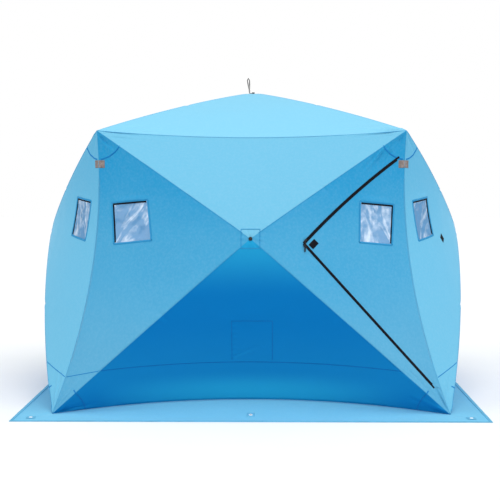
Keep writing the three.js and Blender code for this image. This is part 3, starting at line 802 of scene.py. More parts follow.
def zip_material():
    """Nylon zip: tape at the sides and a ribbed coil in the middle."""
    shader = Shader("zip_nylon", Roughness=0.6, Specular_IOR_Level=0.15)
    lay = shader.node("ShaderNodeSeparateXYZ", Vector=shader.vector("lay"))
    teeth = shader.math("SINE", shader.math("MULTIPLY", lay["X"], 2 * math.pi / 0.0032))
    dust = shader.noise(shader.place(), 40.0)
    dusty = shader.span(dust, 0.4, 0.7, 0.0, 0.5)
    shader.join(shader.mix(dusty, rgb(0.001, 0.001, 0.004), rgb(0.003, 0.003, 0.008)), "Base Color")
    shader.join(shader.bump(teeth, 0.6, 0.0006), "Normal")
    return shader.material


def hard_material(name, colour, roughness, metallic=0.0, grain=90.0):
    shader = Shader(name, Metallic=metallic)
    place = shader.place()
    wear = shader.noise(place, grain, 4.0)
    pale = tuple(min(1.0, 1.5 * c + 0.01) for c in colour[:3]) + (1,)
    shader.join(shader.mix(shader.span(wear, 0.45, 0.75, 0.0, 0.6), colour, pale), "Base Color")
    shader.join(shader.span(wear, 0.3, 0.7, roughness * 0.8, roughness * 1.25), "Roughness")
    shader.join(shader.bump(wear, 0.15, 0.0005), "Normal")
    return shader.material


def film_material():
    """Clear crinkled vinyl with pale streaks that run across it, painted highlights in its colour and
    opacity.
    """
    shader = Shader("clear_vinyl", Roughness=0.14, IOR=1.5, Coat_Weight=0.4, Coat_Roughness=0.08)
    lay = shader.vector("lay")
    drawn = shader.node("ShaderNodeMapping", Vector=lay, Scale=(3.6, 12.0, 1.0))["Vector"]
    streaks = shader.node("ShaderNodeTexNoise", Vector=drawn, Scale=1.0, Detail=3.0, Roughness=0.55,
                          Distortion=0.9)["Fac"]
    fine = shader.noise(lay, 22.0, 3.0)
    highlight_streaks = shader.span(shader.math("ADD", streaks, shader.math("MULTIPLY", fine, 0.25)), 0.56, 0.80, 0.0, 1.0)
    shader.join(shader.mix(highlight_streaks, rgb(0.120, 0.340, 0.620), rgb(0.620, 0.740, 0.880)), "Base Color")
    shader.join(shader.span(highlight_streaks, 0.0, 1.0, 0.78, 0.95), "Alpha")
    shader.join(shader.bump(fine, 0.25, 0.005), "Normal")
    return shader.material


# Painted shade for the lower triangles, and the painted light mixed into it beside the hub and along the
# bottom edge
SHADED_BLUE = rgb(0.000, 0.168, 0.470)
LIT_BLUE = rgb(0.022, 0.400, 0.660)
# Pale tone: painted light on the upper triangles, and also the cloth's random pale patches
PALE_AND_LIT_BLUE = rgb(0.145, 0.450, 0.640)
# The door wall: painted light and shade by height, darker at the eaves and lighter towards the ground
DOOR_WALL = cloth_material("door_wall_cloth", rgb(0.012, 0.280, 0.550), rgb(0.052, 0.325, 0.560),
                           rgb(0.088, 0.345, 0.545), SHADED_BLUE, PALE_AND_LIT_BLUE)
# The side and back walls: a lighter copy of the same cloth, the lighter tones painted light
LIT_WALL = cloth_material("wall_cloth", rgb(0.105, 0.410, 0.630), rgb(0.135, 0.460, 0.675),
                      rgb(0.140, 0.450, 0.645), SHADED_BLUE, PALE_AND_LIT_BLUE)
# The roof: the same cloth in a lighter tone, painted light on its upward face
LIT_ROOF_TONE = rgb(0.210, 0.550, 0.740)
ROOF = cloth_material("roof_cloth", LIT_ROOF_TONE, LIT_ROOF_TONE, LIT_ROOF_TONE, SHADED_BLUE, LIT_ROOF_TONE)
# The skirt: the same cloth in a lighter tone, painted light on its upward face
LIT_SKIRT_TONE = rgb(0.165, 0.505, 0.720)
SKIRT_CLOTH = cloth_material("skirt_cloth", LIT_SKIRT_TONE, LIT_SKIRT_TONE, LIT_SKIRT_TONE, SHADED_BLUE, LIT_SKIRT_TONE)
SEAM = band_material("seam_tape", rgb(0.006, 0.205, 0.510), rgb(0.008, 0.170, 0.460))
# A darker copy of the seam tape, painted shade for the seams in the lower triangle
SHADED_SEAM = band_material("deep_seam_tape", rgb(0.000, 0.142, 0.420), rgb(0.000, 0.130, 0.390))
HEM_TAPE = band_material("hem_tape", rgb(0.030, 0.290, 0.560), rgb(0.015, 0.200, 0.460))
# The skirt's tape in the skirt's lighter tone, painted light as on the skirt
SKIRT_HEM_TAPE = band_material("skirt_hem_tape", rgb(0.140, 0.460, 0.680), rgb(0.070, 0.360, 0.610))
# A lighter copy of the piping for the roof's ridges: painted light
LIT_ROOF_PIPING = band_material("pale_piping", rgb(0.160, 0.560, 0.820), rgb(0.070, 0.400, 0.700))
CORNER_TAPE = band_material("corner_tape", rgb(0.080, 0.380, 0.620), rgb(0.040, 0.300, 0.560))
BLACK_TAPE = webbing_material("black_tape", rgb(0.0015, 0.0015, 0.0040))
# Warm grey: the tag's own grey, with a painted reddish reflection as its warm tint
TAG_CLOTH = webbing_material("grey_tag", rgb(0.190, 0.155, 0.145), 0.004)
ZIP = zip_material()
HUB_PLASTIC = hard_material("hub_plastic", rgb(0.016, 0.017, 0.020), 0.45)
BOLT_PLASTIC = hard_material("bolt_plastic", rgb(0.002, 0.002, 0.004), 0.45)
POLE_GLASS = hard_material("pole_glass_fibre", rgb(0.020, 0.021, 0.024), 0.30, grain=30.0)
EYELET_STEEL = hard_material("eyelet_plated", rgb(0.900, 0.910, 0.920), 0.40, 0.35)
# Dark disc of painted shade where the eyelets' holes would be
BORE_SHADE = hard_material("eyelet_bore", rgb(0.020, 0.024, 0.030), 0.70, 0.0)
FILM = film_material()


# ---- walls and roof ----

def to_uv(panel, outline):
    u, v = panel.find(outline[:, 0], outline[:, 1])
    return np.stack([u, v], axis=-1)


def door_outline(panel):
    """Closed line round all the cloth that the zip frees, out to the corner seam, in u and v."""
    upper = bowed(DOOR_POINT, ZIP_TOP, ZIP_BOW)
    lower = along_line([ZIP_FOOT, DOOR_POINT])
    top, foot = to_uv(panel, upper), to_uv(panel, lower)
    seam = [(1.0, top[-1][1]), (1.0, foot[0][1])]
    down = np.linspace(seam[0][1], seam[1][1], 60)
    return np.concatenate([top, np.stack([np.ones(60), down], axis=-1), foot[:-1]])


def make_panel(panel, material, nodes):
    """The panel's cloth, in one piece, or with the door's cloth as a second one."""
    windows = [to_uv(panel, along_line(corners + corners[:1])[:-1]) for _, _, corners in window_places(panel)]
    outlines = list(windows)
    door = None
    if panel.name == "front":
        door = door_outline(panel)
        outlines.append(door)
    flat, faces = split_panel(panel, outlines)
    centre = flat[faces].mean(axis=1)
    free = np.ones(len(faces), bool)
    for outline in windows:
        free &= ~inside(outline, centre[:, 0], centre[:, 1])
    on_door = np.zeros(len(faces), bool) if door is None else inside(door, centre[:, 0], centre[:, 1])
    obj, u, v, points = cloth_from(panel.name + "_cloth", panel, flat, faces[free & ~on_door], material)
    follow_panel(obj, panel, u, v)
    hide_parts(*nodes)
    if door is not None:
        flap, _, _, points = cloth_from("door_cloth", panel, flat, faces[free & on_door], material)
        follow_door(flap, points)
        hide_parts("door_flap")
    return obj


WALLS = [wall_panel(side, i) for i, side in enumerate(SIDES)]
FRONT = WALLS[0]
ROOF_PANEL = roof_panel()


def seam_reach(z):
    """From the centre to just outside the corner seam at a height, along X and along Y."""
    t = (TOP_Z - z) / (TOP_Z - BASE_Z)
    return TOP_HALF + t * (BASE_HALF - TOP_HALF) - 4 * t * (1 - t) * SEAM_BOW + 0.006


DOOR_AXIS = [(seam_reach(z), -seam_reach(z), z) for z in (ZIP_TOP[1], ZIP_FOOT[1])]


def attach(obj, panel, u, v, points, on_door):
    if on_door:
        follow_door(obj, points)
    else:
        follow_panel(obj, panel, u, v)


def make_window(panel, name, sign, corners, node, on_door):
    """Crinkled film behind the opening, a hem round it, and black hook strips at its top and one side: the
    outer side on the door wall, the inner side on the others.
    """
    grid = np.linspace(-0.03, 1.03, 34)
    s, t = np.meshgrid(grid, grid, indexing="ij")
    a, b, c, d = (np.array(corner) for corner in corners)
    flat = ((1 - s) * (1 - t))[..., None] * a + (s * (1 - t))[..., None] * b
    flat = flat + (s * t)[..., None] * c + ((1 - s) * t)[..., None] * d
    x, z = flat[..., 0].ravel(), flat[..., 1].ravel()
    u, v = panel.find(x, z)
    crinkle = 0.0022 * ripple(x, z, 0.035, 5 + panel.turn)
    crinkle = crinkle + 0.0030 * ripple(x, z, 0.10, 9 + sign + panel.turn)
    middle = np.clip(6 * np.minimum.reduce([s, t, 1 - s, 1 - t]), 0, 1).ravel()
    points = panel.surface(u, v, -0.0014 + crinkle * middle - 0.003 * middle)
    faces = [face[::sign] for face in grid_faces(len(grid))]
    film = new_object(name + "_film", points, faces, FILM)
    # The painted highlight streaks slant one way on the left windows and another on the right
    slant = math.radians(50 if sign < 0 else 108)
    along, across = math.cos(slant), math.sin(slant)
    point_vectors(film, "lay", x * along + z * across, z * along - x * across)
    thicken(film, 0.0005, -1.0)
    attach(film, panel, u, v, points, on_door)
    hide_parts(node)
    loop = sides_of(corners)
    centre = np.mean(corners, axis=0)
    hems = [path + (path - centre) * 0.045 for path in loop]
    hem, u, v, points = bands(name + "_hem", panel, hems, HEM, 0.0006, 0.0026, HEM_TAPE)
    attach(hem, panel, u, v, points, on_door)
    strips = [centre + (loop[i] - centre) * 0.955 for i in ((1, 2) if panel.name == "front" else (2, 3))]
    strip, u, v, points = bands(name + "_hook_strips", panel, strips, HOOK_STRIP,
                                -0.0040, -0.0002, BLACK_TAPE)
    attach(strip, panel, u, v, points, on_door)
    return [hem, strip]


def arc(centre, radius, start, end, count=18):
    angles = np.linspace(start, end, count)
    return np.stack([centre[0] + radius * np.cos(angles), centre[1] + radius * np.sin(angles)], axis=-1)


def wall_seams(panel):
    """Taped seams: the line across the foot of the wall, the corner patches and the hub's square patch."""
    line = np.linspace(-0.995, 0.995, 120)
    sway = LOWER_SEAM_V - 0.010 * np.abs(line) ** 2
    path = np.stack([line, sway], axis=-1)
    under = np.abs(line) < np.abs(sway)
    ends = [path[line < -0.735]] + ([] if panel.name == "front" else [path[line > 0.735]])
    paths = []
    for sign in (-1, 1):
        top, base = (sign * TOP_HALF, TOP_Z), (sign * BASE_HALF, BASE_Z)
        flip = (lambda a: a) if sign > 0 else (lambda a: math.pi - a)
        paths.append(arc(top, PATCH_TOP, flip(math.radians(263)), flip(math.radians(212))))
        paths.append(arc(base, PATCH_BASE, flip(math.radians(132)), flip(math.radians(174)), 30))
    half = HUB_PATCH
    square = [(-half, HUB_Z - half), (half, HUB_Z - half), (half, HUB_Z + half), (-half, HUB_Z + half)]
    edges = sides_of(square, 0.006)
    made = []
    for name, lines, width, high, material, in_uv in (
            ("_lower_seam", [path[under]], 0.0060, 0.0020, SHADED_SEAM, True),
            ("_lower_seam_ends", ends, 0.0060, 0.0020, SEAM, True),
            ("_patch_seams", paths, SEAM_BAND, 0.0026, SEAM, False),
            ("_hub_patch", edges, 0.0050, 0.0026, HEM_TAPE, False)):
        seam, u, v, points = bands(panel.name + name, panel, lines, width, 0.0004, high, material, in_uv)
        follow_panel(seam, panel, u, v)
        made.append(seam)
    return made


def ridge_piping(panel):
    """A folded seam allowance that runs over each pole, from the hub patch to the corner."""
    reach = np.linspace(0.05, 0.995, 90)
    paths = [np.stack([su * reach, sv * reach], axis=-1) for su, sv in ((-1, -1), (1, -1), (1, 1), (-1, 1))]
    material = HEM_TAPE if panel.tall == 2 else LIT_ROOF_PIPING
    piping, u, v, points = bands(panel.name + "_pole_piping", panel, paths, 0.0042,
                                 0.0002, 0.0024, material, in_uv=True)
    follow_panel(piping, panel, u, v)
    return piping


def tag(panel, sign):
    """A small square light-reflecting tag that wraps the corner seam, drawn matte; the warm tint of its grey
    is a painted reflection.
    """
    x = np.linspace(-0.5, 0.5, 7) * TAG
    z0 = HUB_Z + (TOP_Z - HUB_Z) * TAG_V - 0.050
    path = np.stack([np.full(7, sign * (seam_reach(z0) - 0.5 * TAG)), z0 + x], axis=-1)
    piece, u, v, points = bands("%s_%s_tag" % (panel.name, "right" if sign > 0 else "left"),
                                panel, [path], TAG, 0.0010, 0.0026, TAG_CLOTH)
    if panel.name == "front" and sign > 0:
        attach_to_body(piece, "door_panel")
    else:
        follow_panel(piece, panel, u, v)


def make_walls():
    for panel in WALLS:
        material = DOOR_WALL if panel.name == "front" else LIT_WALL
        cloth = make_panel(panel, material, ["wall_" + panel.name])
        extras = wall_seams(panel) + [ridge_piping(panel)]
        for side, sign, corners in window_places(panel):
            on_door = panel.name == "front" and sign > 0
            place = "%s_%s" % (panel.name, side)
            if on_door:
                make_window(panel, "door_window", sign, corners, "door_window", True)
            else:
                extras += make_window(panel, place + "_window", sign, corners, "window_" + place, False)
        for sign in (-1, 1):
            tag(panel, sign)


def make_roof():
    cloth = make_panel(ROOF_PANEL, ROOF, ["roof"])
    piping = ridge_piping(ROOF_PANEL)


# ---- door trim ----

def offset_path(path, shift):
    """The path moved sideways, to the left of its direction."""
    tangent = unit(np.gradient(path, axis=0))
    return path + np.stack([-tangent[:, 1], tangent[:, 0]], axis=-1) * shift


def make_zip():
    upper = bowed(DOOR_POINT, ZIP_TOP, ZIP_BOW, 70)
    lower = along_line([DOOR_POINT, ZIP_FOOT])
    runs = ((upper, ZIP_TAPE, 1), (lower, ZIP_TAPE_LOWER, -1))
    for name, side, node in (("zip_wall_tape", 1, "zip_wall_side"), ("zip_door_tape", -1, "zip_door_side")):
        parts = []
        for path, width, way in runs:
            if side < 0:
                path = path[: int(len(path) * 0.985)]
            parts.append(offset_path(path, way * side * width / 2))
        piece, u, v, points = bands(name, FRONT, parts, (ZIP_TAPE, ZIP_TAPE_LOWER), 0.0008, 0.0032, ZIP)
        if side > 0:
            follow_panel(piece, FRONT, u, v)
        else:
            follow_door(piece, points)
        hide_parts(node)
    coil, u, v, points = bands("zip_coil", FRONT, [upper, lower], 0.0052, 0.0028, 0.0046, ZIP)
    follow_panel(coil, FRONT, u, v)


def make_slider(node, end):
    """A zip slider: a waisted shell with a bridge over it and a tapered pull tab that hangs down the wall."""
    centre = box_of(node)[2]
    run = np.array([end[0] - DOOR_POINT[0], 0.0, end[1] - DOOR_POINT[1]])
    run = unit(run - WALL_NORMAL * (run @ WALL_NORMAL))
    down = unit(WALL_NORMAL * (UP @ WALL_NORMAL) - UP)
    side, across = np.cross(run, WALL_NORMAL), np.cross(down, WALL_NORMAL)
    # How far along, how far out and half the width, at each station
    shell = ((-0.013, 0, 0.0045), (-0.006, 0, 0.0050), (0.001, 0, 0.0066),
             (0.009, 0, 0.0078), (0.013, 0, 0.0062))
    bridge = ((-0.008, 0.0022, 0.0020), (-0.005, 0.0050, 0.0020),
              (0.005, 0.0050, 0.0020), (0.009, 0.0022, 0.0020))
    tab = ((0, 0.0045, 0.0022), (0.008, 0.0045, 0.0024), (0.012, 0.0045, 0.0042),
           (0.030, 0.0045, 0.0056), (0.034, 0.0045, 0.0040))
    parts = []
    for stations, way, wide, heights in ((shell, run, side, (-0.0030, 0.0022)),
                                         (bridge, run, side, (-0.0004, 0.0014)),
                                         (tab, down, across, (0.0016, 0.0034))):
        line = [centre + way * x + WALL_NORMAL * h for x, h, _ in stations]
        parts.append(slab(line, wide, WALL_NORMAL, [half for _, _, half in stations], heights))
    points, faces = [], []
    for part_points, part_faces in parts:
        faces += [tuple(len(points) + i for i in face) for face in part_faces]
        points += part_points
    slider = new_object(node + "_shell", points, faces, BOLT_PLASTIC, smooth=False)
    rounding = slider.modifiers.new("Rounding", "BEVEL")
    rounding.width = 0.0006
    rounding.segments = 2
    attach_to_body(slider, node)
    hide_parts(node)


def slab(line, side, up, halves, heights):
    """A closed bar along a line of points, with its own half width at each."""
    low, high = heights
    corners = ((-1, low), (1, low), (1, high), (-1, high))
    points = [centre + side * (half * s) + up * height
              for centre, half in zip(line, halves) for s, height in corners]
    return points, sleeve(len(line), 4)


def make_pad(name, panel, at, turn, node, on_door):
    """A square of hook-and-loop tape, bevelled along two of its sides."""
    run = np.linspace(-0.5, 0.5, 12) * PAD[0]
    path = np.stack([at[0] + run * math.cos(turn), at[1] + run * math.sin(turn)], axis=-1)
    piece, u, v, points = bands(name, panel, [path], PAD[1], 0.0010, 0.0040, BLACK_TAPE)
    if on_door:
        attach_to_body(piece, "door")
    else:
        follow_panel(piece, panel, u, v)
    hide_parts(node)


def make_pocket():
    seams = sides_of(POCKET)[1:]
    piece, u, v, points = bands("front_pocket_seams", FRONT, seams, 0.0042, 0.0004, 0.0022, SHADED_SEAM)
    follow_panel(piece, FRONT, u, v)


# ---- skirt ----

def skirt_point(side, s, c):
    """A point of the skirt: s runs along a side, and c from the wall's foot at 0 to the hem at 1."""
    bow = 4 * s * (1 - s)
    width = SKIRT + ARCH_IN * bow
    from_hem = (1 - c) * width
    reach = BASE_HALF + SKIRT - from_hem
    k = np.maximum(0, from_hem - SKIRT_LEVEL) / (width - SKIRT_LEVEL)
    rise = ARCH_UP * bow * k * k
    run = (2 * s - 1) * np.where(c <= 0, BASE_HALF, reach)
    ruck = 0.0030 * (1 + ripple(run, from_hem, 0.16, 31 + side)) * np.clip(6 * s * (1 - s), 0, 1)
    fine = 0.0012 * (1 + ripple(run, from_hem, 0.045, 41 + side))
    rise = rise + (BASE_Z - 0.0018) * np.clip(1 - 8 * c, 0, 1)
    rise = rise + 0.0012 + (ruck + fine) * np.clip(4 * c, 0, 1) * (0.35 + 0.65 * k)
    return quarter_turns(np.stack([run, -reach, rise], axis=-1), side)


def make_skirt():
    along, across = 120, 22
    points, faces, lay = [], [], []
    for side in range(4):
        s, c = np.meshgrid(np.arange(along) / along, np.linspace(0, 1, across + 1), indexing="ij")
        points.append(skirt_point(side, s, c).reshape(-1, 3))
        lay.append(np.stack([(s + side).ravel() * 2.7, c.ravel() * 0.25], axis=-1))
    columns = 4 * along
    for i in range(columns):
        n = (i + 1) % columns
        for j in range(across):
            a, b = i * (across + 1) + j, n * (across + 1) + j
            faces.append((a, a + 1, b + 1, b))
    lay = np.concatenate(lay)
    skirt = new_object("skirt_cloth", np.concatenate(points), faces, SKIRT_CLOTH)
    point_vectors(skirt, "lay", lay[:, 0], lay[:, 1])
    point_values(skirt, "zone", np.full(len(lay), 2.0))
    thicken(skirt)
    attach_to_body(skirt, "root")
    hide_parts("ground_skirt")
    hem = make_skirt_hem()


def make_skirt_hem():
    """The doubled hem round the skirt's outer edge."""
    points = []
    shares = ((1.0, 0.0), (1.0, 0.0030), (0.93, 0.0034), (0.925, 0.0018))
    along = 120
    for side in range(4):
        s = np.arange(along) / along
        for c, lift in shares:
            p = skirt_point(side, s, np.full(along, c))
            p[:, 2] = np.maximum(p[:, 2] * (0.0 if lift == 0.0 else 1.0) + lift, 0.0004)
            points.append(p)
    ring = len(shares)
    sides = [np.stack(points[k * ring:(k + 1) * ring], axis=1).reshape(-1, 3) for k in range(4)]
    count = 4 * along
    hem = new_object("skirt_hem", np.concatenate(sides), sleeve(count, ring, closed=True), SKIRT_HEM_TAPE)
    run = np.repeat(np.arange(count) * (2 * (BASE_HALF + SKIRT) / along), ring)
    point_vectors(hem, "lay", run, np.tile([0.0, 0.002, 0.0, 0.004], count))
    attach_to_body(hem, "root")
    return hem


def lathe(name, profile, material, centre, x_axis, y_axis, z_axis, sides=40):
    """A closed profile of (radius, height) pairs turned about z_axis."""
    points = []
    for angle in np.arange(sides) * (2 * math.pi / sides):
        out = math.cos(angle) * x_axis + math.sin(angle) * y_axis
        points += [centre + out * radius + z_axis * height for radius, height in profile]
    faces = [face[::-1] for face in sleeve(sides, len(profile), closed=True)]
    return new_object(name, points, faces, material)


def eyelet_patch(name, side, in_middle):
    """A square of doubled cloth that stiffens the skirt round an eyelet."""
    width = SKIRT + (ARCH_IN if in_middle else 0.0)
    across = EYELET_FROM_HEM if in_middle else 0.5 * SKIRT
    steps = np.linspace(-0.5, 0.5, 7)
    a, b = np.meshgrid(steps, steps, indexing="ij")
    if in_middle:
        s = 0.5 + a * EYELET_PATCH / (2 * (BASE_HALF + SKIRT))
        c = 1 - (across + b * EYELET_PATCH) / width
        top = skirt_point(side, s, c)
    else:
        reach = BASE_HALF + SKIRT - across
        level = np.full(a.shape, 0.0042)
        corner = np.stack([reach + a * EYELET_PATCH, -reach + b * EYELET_PATCH, level], axis=-1)
        top = quarter_turns(corner, side)
    top = top.reshape(-1, 3) + UP * 0.0014
    patch = new_object(name, top, grid_faces(len(steps)), SKIRT_HEM_TAPE)
    point_vectors(patch, "lay", a.ravel() * EYELET_PATCH, b.ravel() * EYELET_PATCH)
    thicken(patch, 0.0010, 0.0)
    return patch


def make_eyelets():
    """Rolled steel eyelets in the middle and at the corners of the skirt."""
    for i, side in enumerate(SIDES):
        for name in ("grommet_" + side, "grommet_%s_%s" % (side, SIDES[(i + 1) % 4])):
            low, high, centre = box_of(name)
            tilt_axis = quarter_turns(np.array([[1.0, 0.0, 0.0]]), i)[0]
            in_middle = name == "grommet_" + side
            lean = EYELET_LEAN if in_middle else 0.0
            inward = quarter_turns(np.array([[0.0, math.cos(lean), math.sin(lean)]]), i)[0]
            normal = np.cross(tilt_axis, inward)
            radius = max((high - low)[:2]) / 2
            profile = [(radius * (0.73 + 0.27 * math.cos(a)), EYELET_LIFT * (math.sin(a) + 1))
                       for a in np.linspace(0, 2 * math.pi, 16, endpoint=False)]
            ring = lathe(name + "_ring", profile, EYELET_STEEL, centre, tilt_axis, inward, normal)
            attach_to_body(ring, "root")
            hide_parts(name)
            # A dark disc of painted shade inside the ring stands in for the hole; the skirt under it is whole
            inner, foot = radius * EYELET_SHADE_DISC, -0.002
            shade_disc = [(0.0003, EYELET_LIFT), (inner, EYELET_LIFT), (inner, foot), (0.0003, foot)]
            shade = lathe(name + "_bore", shade_disc, BORE_SHADE, centre, tilt_axis, inward, normal, 24)
            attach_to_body(shade, "root")
            patch = eyelet_patch(name + "_patch", i, in_middle)
            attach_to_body(patch, "root")


# ---- hubs and poles ----

def tube(name, centres, radius, material, sides=14):
    """A closed rod along a line of points; radius is one number or one for each point."""
    centres = np.asarray(centres, float)
    radii = np.broadcast_to(np.asarray(radius, float), len(centres))
    tangent = unit(np.gradient(centres, axis=0))
    side = unit(np.cross(tangent, UP + 0.01))
    third = np.cross(tangent, side)
    angles = np.linspace(0, 2 * math.pi, sides, endpoint=False)
    points = [centres[i] + radii[i] * (math.cos(a) * side[i] + math.sin(a) * third[i])
              for i in range(len(centres)) for a in angles]
    return new_object(name, points, sleeve(len(centres), sides), material)


def make_pole(panel, index, tip_name, share):
    """A flexed glass-fibre rod, thicker at a ferrule by the hub and at its tip."""
    tip = panel.ridge(index, np.array(share)) - panel.normal * TIP_DEPTH
    span = tip - panel.hub
    out = unit(span - panel.normal * (span @ panel.normal))
    start = panel.hub - panel.normal * HUB_DEPTH + out * (PIVOT_RADIUS - 0.006)
    t = np.linspace(0, 1, 40)
    bend = 4 * panel.flex[index] * t * (1 - t)
    line = start + t[:, None] * (tip - start) + bend[:, None] * panel.normal
    length = np.linalg.norm(tip - start)
    from_hub, from_tip = t * length, (1 - t) * length
    radius = np.where(from_hub < FERRULE, POLE_RADIUS * 1.30, POLE_RADIUS)
    radius = np.where(from_tip < 0.03, POLE_RADIUS * 1.18, radius)
    node = "pole_%s_%s" % (panel.name, tip_name)
    rod = tube(node + "_rod", quarter_turns(line, panel.turn), radius, POLE_GLASS)
    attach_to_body(rod, node)
    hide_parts(node)


def make_frame():
    names = ("lower_left", "lower_right", "upper_right", "upper_left")
    for panel in WALLS:
        low, high = TIP_SHARE["front" if panel.turn % 2 == 0 else "side"]
        for i, name in enumerate(names):
            make_pole(panel, i, name, low if i < 2 else high)
    for i, name in enumerate(("front_left", "front_right", "back_right", "back_left")):
        make_pole(ROOF_PANEL, i, name, TIP_SHARE["roof"][0])
    for panel in WALLS + [ROOF_PANEL]:
        finish_node("hub_" + panel.name, HUB_PLASTIC)
        make_bolt(panel)


def make_bolt(panel):
    """A domed bolt head on a round washer, with its shank through the cloth and the hub."""
    node = "hub_bolt_" + panel.name
    side = quarter_turns(np.array([[1.0, 0.0, 0.0]]), panel.turn)[0]
    normal = quarter_turns(panel.normal[None, :], panel.turn)[0]
    up = np.cross(normal, side)
    centre = quarter_turns(panel.hub[None, :], panel.turn)[0]
    low, high, _ = box_of(node)
    corner_heights = [(np.array((x, y, z)) - centre) @ normal for x in (low[0], high[0])
                      for y in (low[1], high[1]) for z in (low[2], high[2])]
    top = 0.0069 if panel.tall == 2 else 0.0117
    reach = max(-0.034, min(corner_heights))
    profile = [(AXIS, reach), (BOLT_SHANK, reach), (BOLT_SHANK, top - 0.0050), (BOLT_HEAD, top - 0.0050)]
    profile += [(BOLT_HEAD * math.cos(a), top + BOLT_DOME * (math.sin(a) - 1))
                for a in np.linspace(0, math.pi / 2, 8)[:-1]]
    profile.append((AXIS, top))
    bolt = lathe(node + "_head", profile, BOLT_PLASTIC, centre, side, up, normal, 32)
    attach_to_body(bolt, "hub_" + panel.name)
    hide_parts(node)


def make_pull_loop():
    """A webbing strap folded into a narrow loop, with its tab held under the roof's bolt."""
    low, high, _ = box_of("pull_loop")
    foot = np.array((low[0] + 0.006, 0.0, low[2] + 0.001))
    tall = high[2] - foot[2] - 0.003
    up = np.linspace(0, 1, 26)
    half = np.interp(up, (0.0, 0.28, 0.50, 0.86, 1.0), (0.0024, 0.0026, 0.0052, 0.0078, 0.0))
    lean = -0.010 * up
    left = np.stack([foot[0] + lean - half, np.zeros(26), foot[2] + up * tall], axis=-1)
    right = np.stack([foot[0] + lean + half, np.zeros(26), foot[2] + up * tall], axis=-1)
    tab = [(high[0] - 0.004, 0.0, foot[2] + 0.0005), (foot[0] + 0.008, 0.0, foot[2] + 0.0005)]
    line = np.concatenate([np.array(tab), right, left[::-1][1:]])
    flow = unit(np.gradient(line, axis=0))
    out = np.stack([flow[:, 2], np.zeros(len(line)), -flow[:, 0]], axis=-1)
    share = np.clip((line[:, 2] - foot[2]) / tall, 0, 1)
    thick = np.interp(share, (0.0, 0.3, 0.6, 1.0), (0.0016, 0.0020, 0.0036, 0.0024))
    wide = np.interp(share, (0.0, 0.3, 0.7, 1.0), (0.0120, 0.0080, 0.0105, 0.0080))
    angles = np.linspace(0, 2 * math.pi, 12, endpoint=False)
    points = [line[i] + out[i] * (thick[i] * math.sin(a)) + np.array((0.0, wide[i] * math.cos(a), 0.0))
              for i in range(len(line)) for a in angles]
    loop = new_object("pull_loop_strap", points, sleeve(len(line), 12), BLACK_TAPE)
    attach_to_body(loop, "hub_roof")
    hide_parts("pull_loop")


def make_edge_cords():
    """Bound seams along the corners, under the eaves and round the foot of the walls."""
    t = np.linspace(-1, 1, 90)
    ones = np.ones(90)
    for panel in WALLS:
        # The cords are real bindings; the darker tapes on the eave and foot cords are painted shade under the
        # roof's edge and at the wall's foot
        for name, u, v, material in (("corner", ones, t, CORNER_TAPE), ("eave", t, ones, HEM_TAPE),
                                     ("foot", t, -ones, SEAM)):
            line = panel.surface(u, v, 0.0006)
            if name == "foot":
                line[:, 2] = np.maximum(line[:, 2], 0.0030)
            cord = tube("%s_%s_binding" % (panel.name, name), line, 0.0019, material, 8)
            run = np.concatenate([[0], np.cumsum(np.linalg.norm(np.diff(line, axis=0), axis=1))])
            point_vectors(cord, "lay", np.repeat(run, 8), np.tile(np.linspace(-0.003, 0.003, 8), 90))
            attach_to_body(cord, "root")


def finish_node(node, material):
    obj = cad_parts[node]
    obj.data.materials.clear()
    obj.data.materials.append(material)


# ---- stage ----

def look_at(obj, target):
    obj.rotation_euler = (Vector(target) - obj.location).to_track_quat("-Z", "Y").to_euler()


def make_camera():
    data = bpy.data.cameras.new("camera")
    data.lens = CAMERA_LENS
    data.sensor_width = 36.0
    data.shift_x = CAMERA_SHIFT
    camera = bpy.data.objects.new("camera", data)
    across, back = math.sin(CAMERA_YAW), -math.cos(CAMERA_YAW)
    camera.location = (CAMERA_DISTANCE * across, CAMERA_DISTANCE * back, CAMERA_HEIGHT)
    camera.rotation_euler = (math.pi / 2 - CAMERA_PITCH, 0.0, CAMERA_YAW)
    bpy.context.collection.objects.link(camera)
    bpy.context.scene.camera = camera


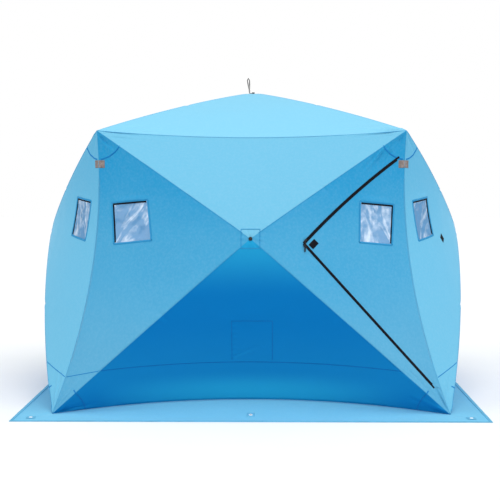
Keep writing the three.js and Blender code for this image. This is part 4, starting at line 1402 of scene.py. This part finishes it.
def sun(name, towards, strength, softness, colour=(1, 1, 1)):
    data = bpy.data.lights.new(name, "SUN")
    data.energy = strength
    data.angle = math.radians(softness)
    data.color = colour
    obj = bpy.data.objects.new(name, data)
    obj.location = Vector(towards) * 10
    bpy.context.collection.objects.link(obj)
    look_at(obj, (0, 0, 0))


def make_stage():
    angles = np.linspace(0, 2 * math.pi, 64, endpoint=False)
    points = [(FLOOR_REACH * math.cos(a), FLOOR_REACH * math.sin(a), 0.0) for a in angles]
    floor_shader = Shader("floor_paint", Roughness=0.9, Specular_IOR_Level=0.1)
    grain = floor_shader.noise(floor_shader.place(), 3.0)
    floor_shader.join(floor_shader.mix(grain, rgb(0.86, 0.86, 0.86), rgb(0.88, 0.88, 0.88)), "Base Color")
    floor = new_object("floor", points, [tuple(range(64))], floor_shader.material, smooth=False)
    sun("sun_top", (0.1, -0.45, 1.0), 2.1, 55)
    sun("sun_left", (-1.0, -0.25, 0.45), 0.9, 50)
    sun("sun_right", (1.0, -0.25, 0.45), 0.9, 50)
    world = bpy.data.worlds.new("studio")
    bpy.context.scene.world = world
    world.use_nodes = True
    tree = world.node_tree
    tree.nodes.clear()
    output = tree.nodes.new("ShaderNodeOutputWorld")
    mix = tree.nodes.new("ShaderNodeMixShader")
    path = tree.nodes.new("ShaderNodeLightPath")
    tree.links.new(path.outputs["Is Camera Ray"], mix.inputs[0])
    for slot, colour, strength in ((1, rgb(0.92, 0.96, 1.0), 0.42), (2, rgb(1, 1, 1), 1.0)):
        sky = tree.nodes.new("ShaderNodeBackground")
        sky.inputs["Color"].default_value = colour
        sky.inputs["Strength"].default_value = strength
        tree.links.new(sky.outputs[0], mix.inputs[slot])
    tree.links.new(mix.outputs[0], output.inputs["Surface"])
    bpy.context.scene.view_settings.view_transform = "Standard"


make_camera()
make_stage()
make_walls()
make_roof()
make_zip()
make_pad("door_pad_hooks", FRONT, FLAP_PAD_AT, math.pi / 4, "door_pad_flap", True)
make_pad("wall_pad_loops", WALLS[1], WALL_PAD_AT, -math.pi / 4, "door_pad_wall", False)
make_pocket()
make_edge_cords()
make_skirt()
make_eyelets()
make_frame()
make_slider("zip_slider_upper", ZIP_TOP)
make_slider("zip_slider_lower", ZIP_FOOT)
make_pull_loop()
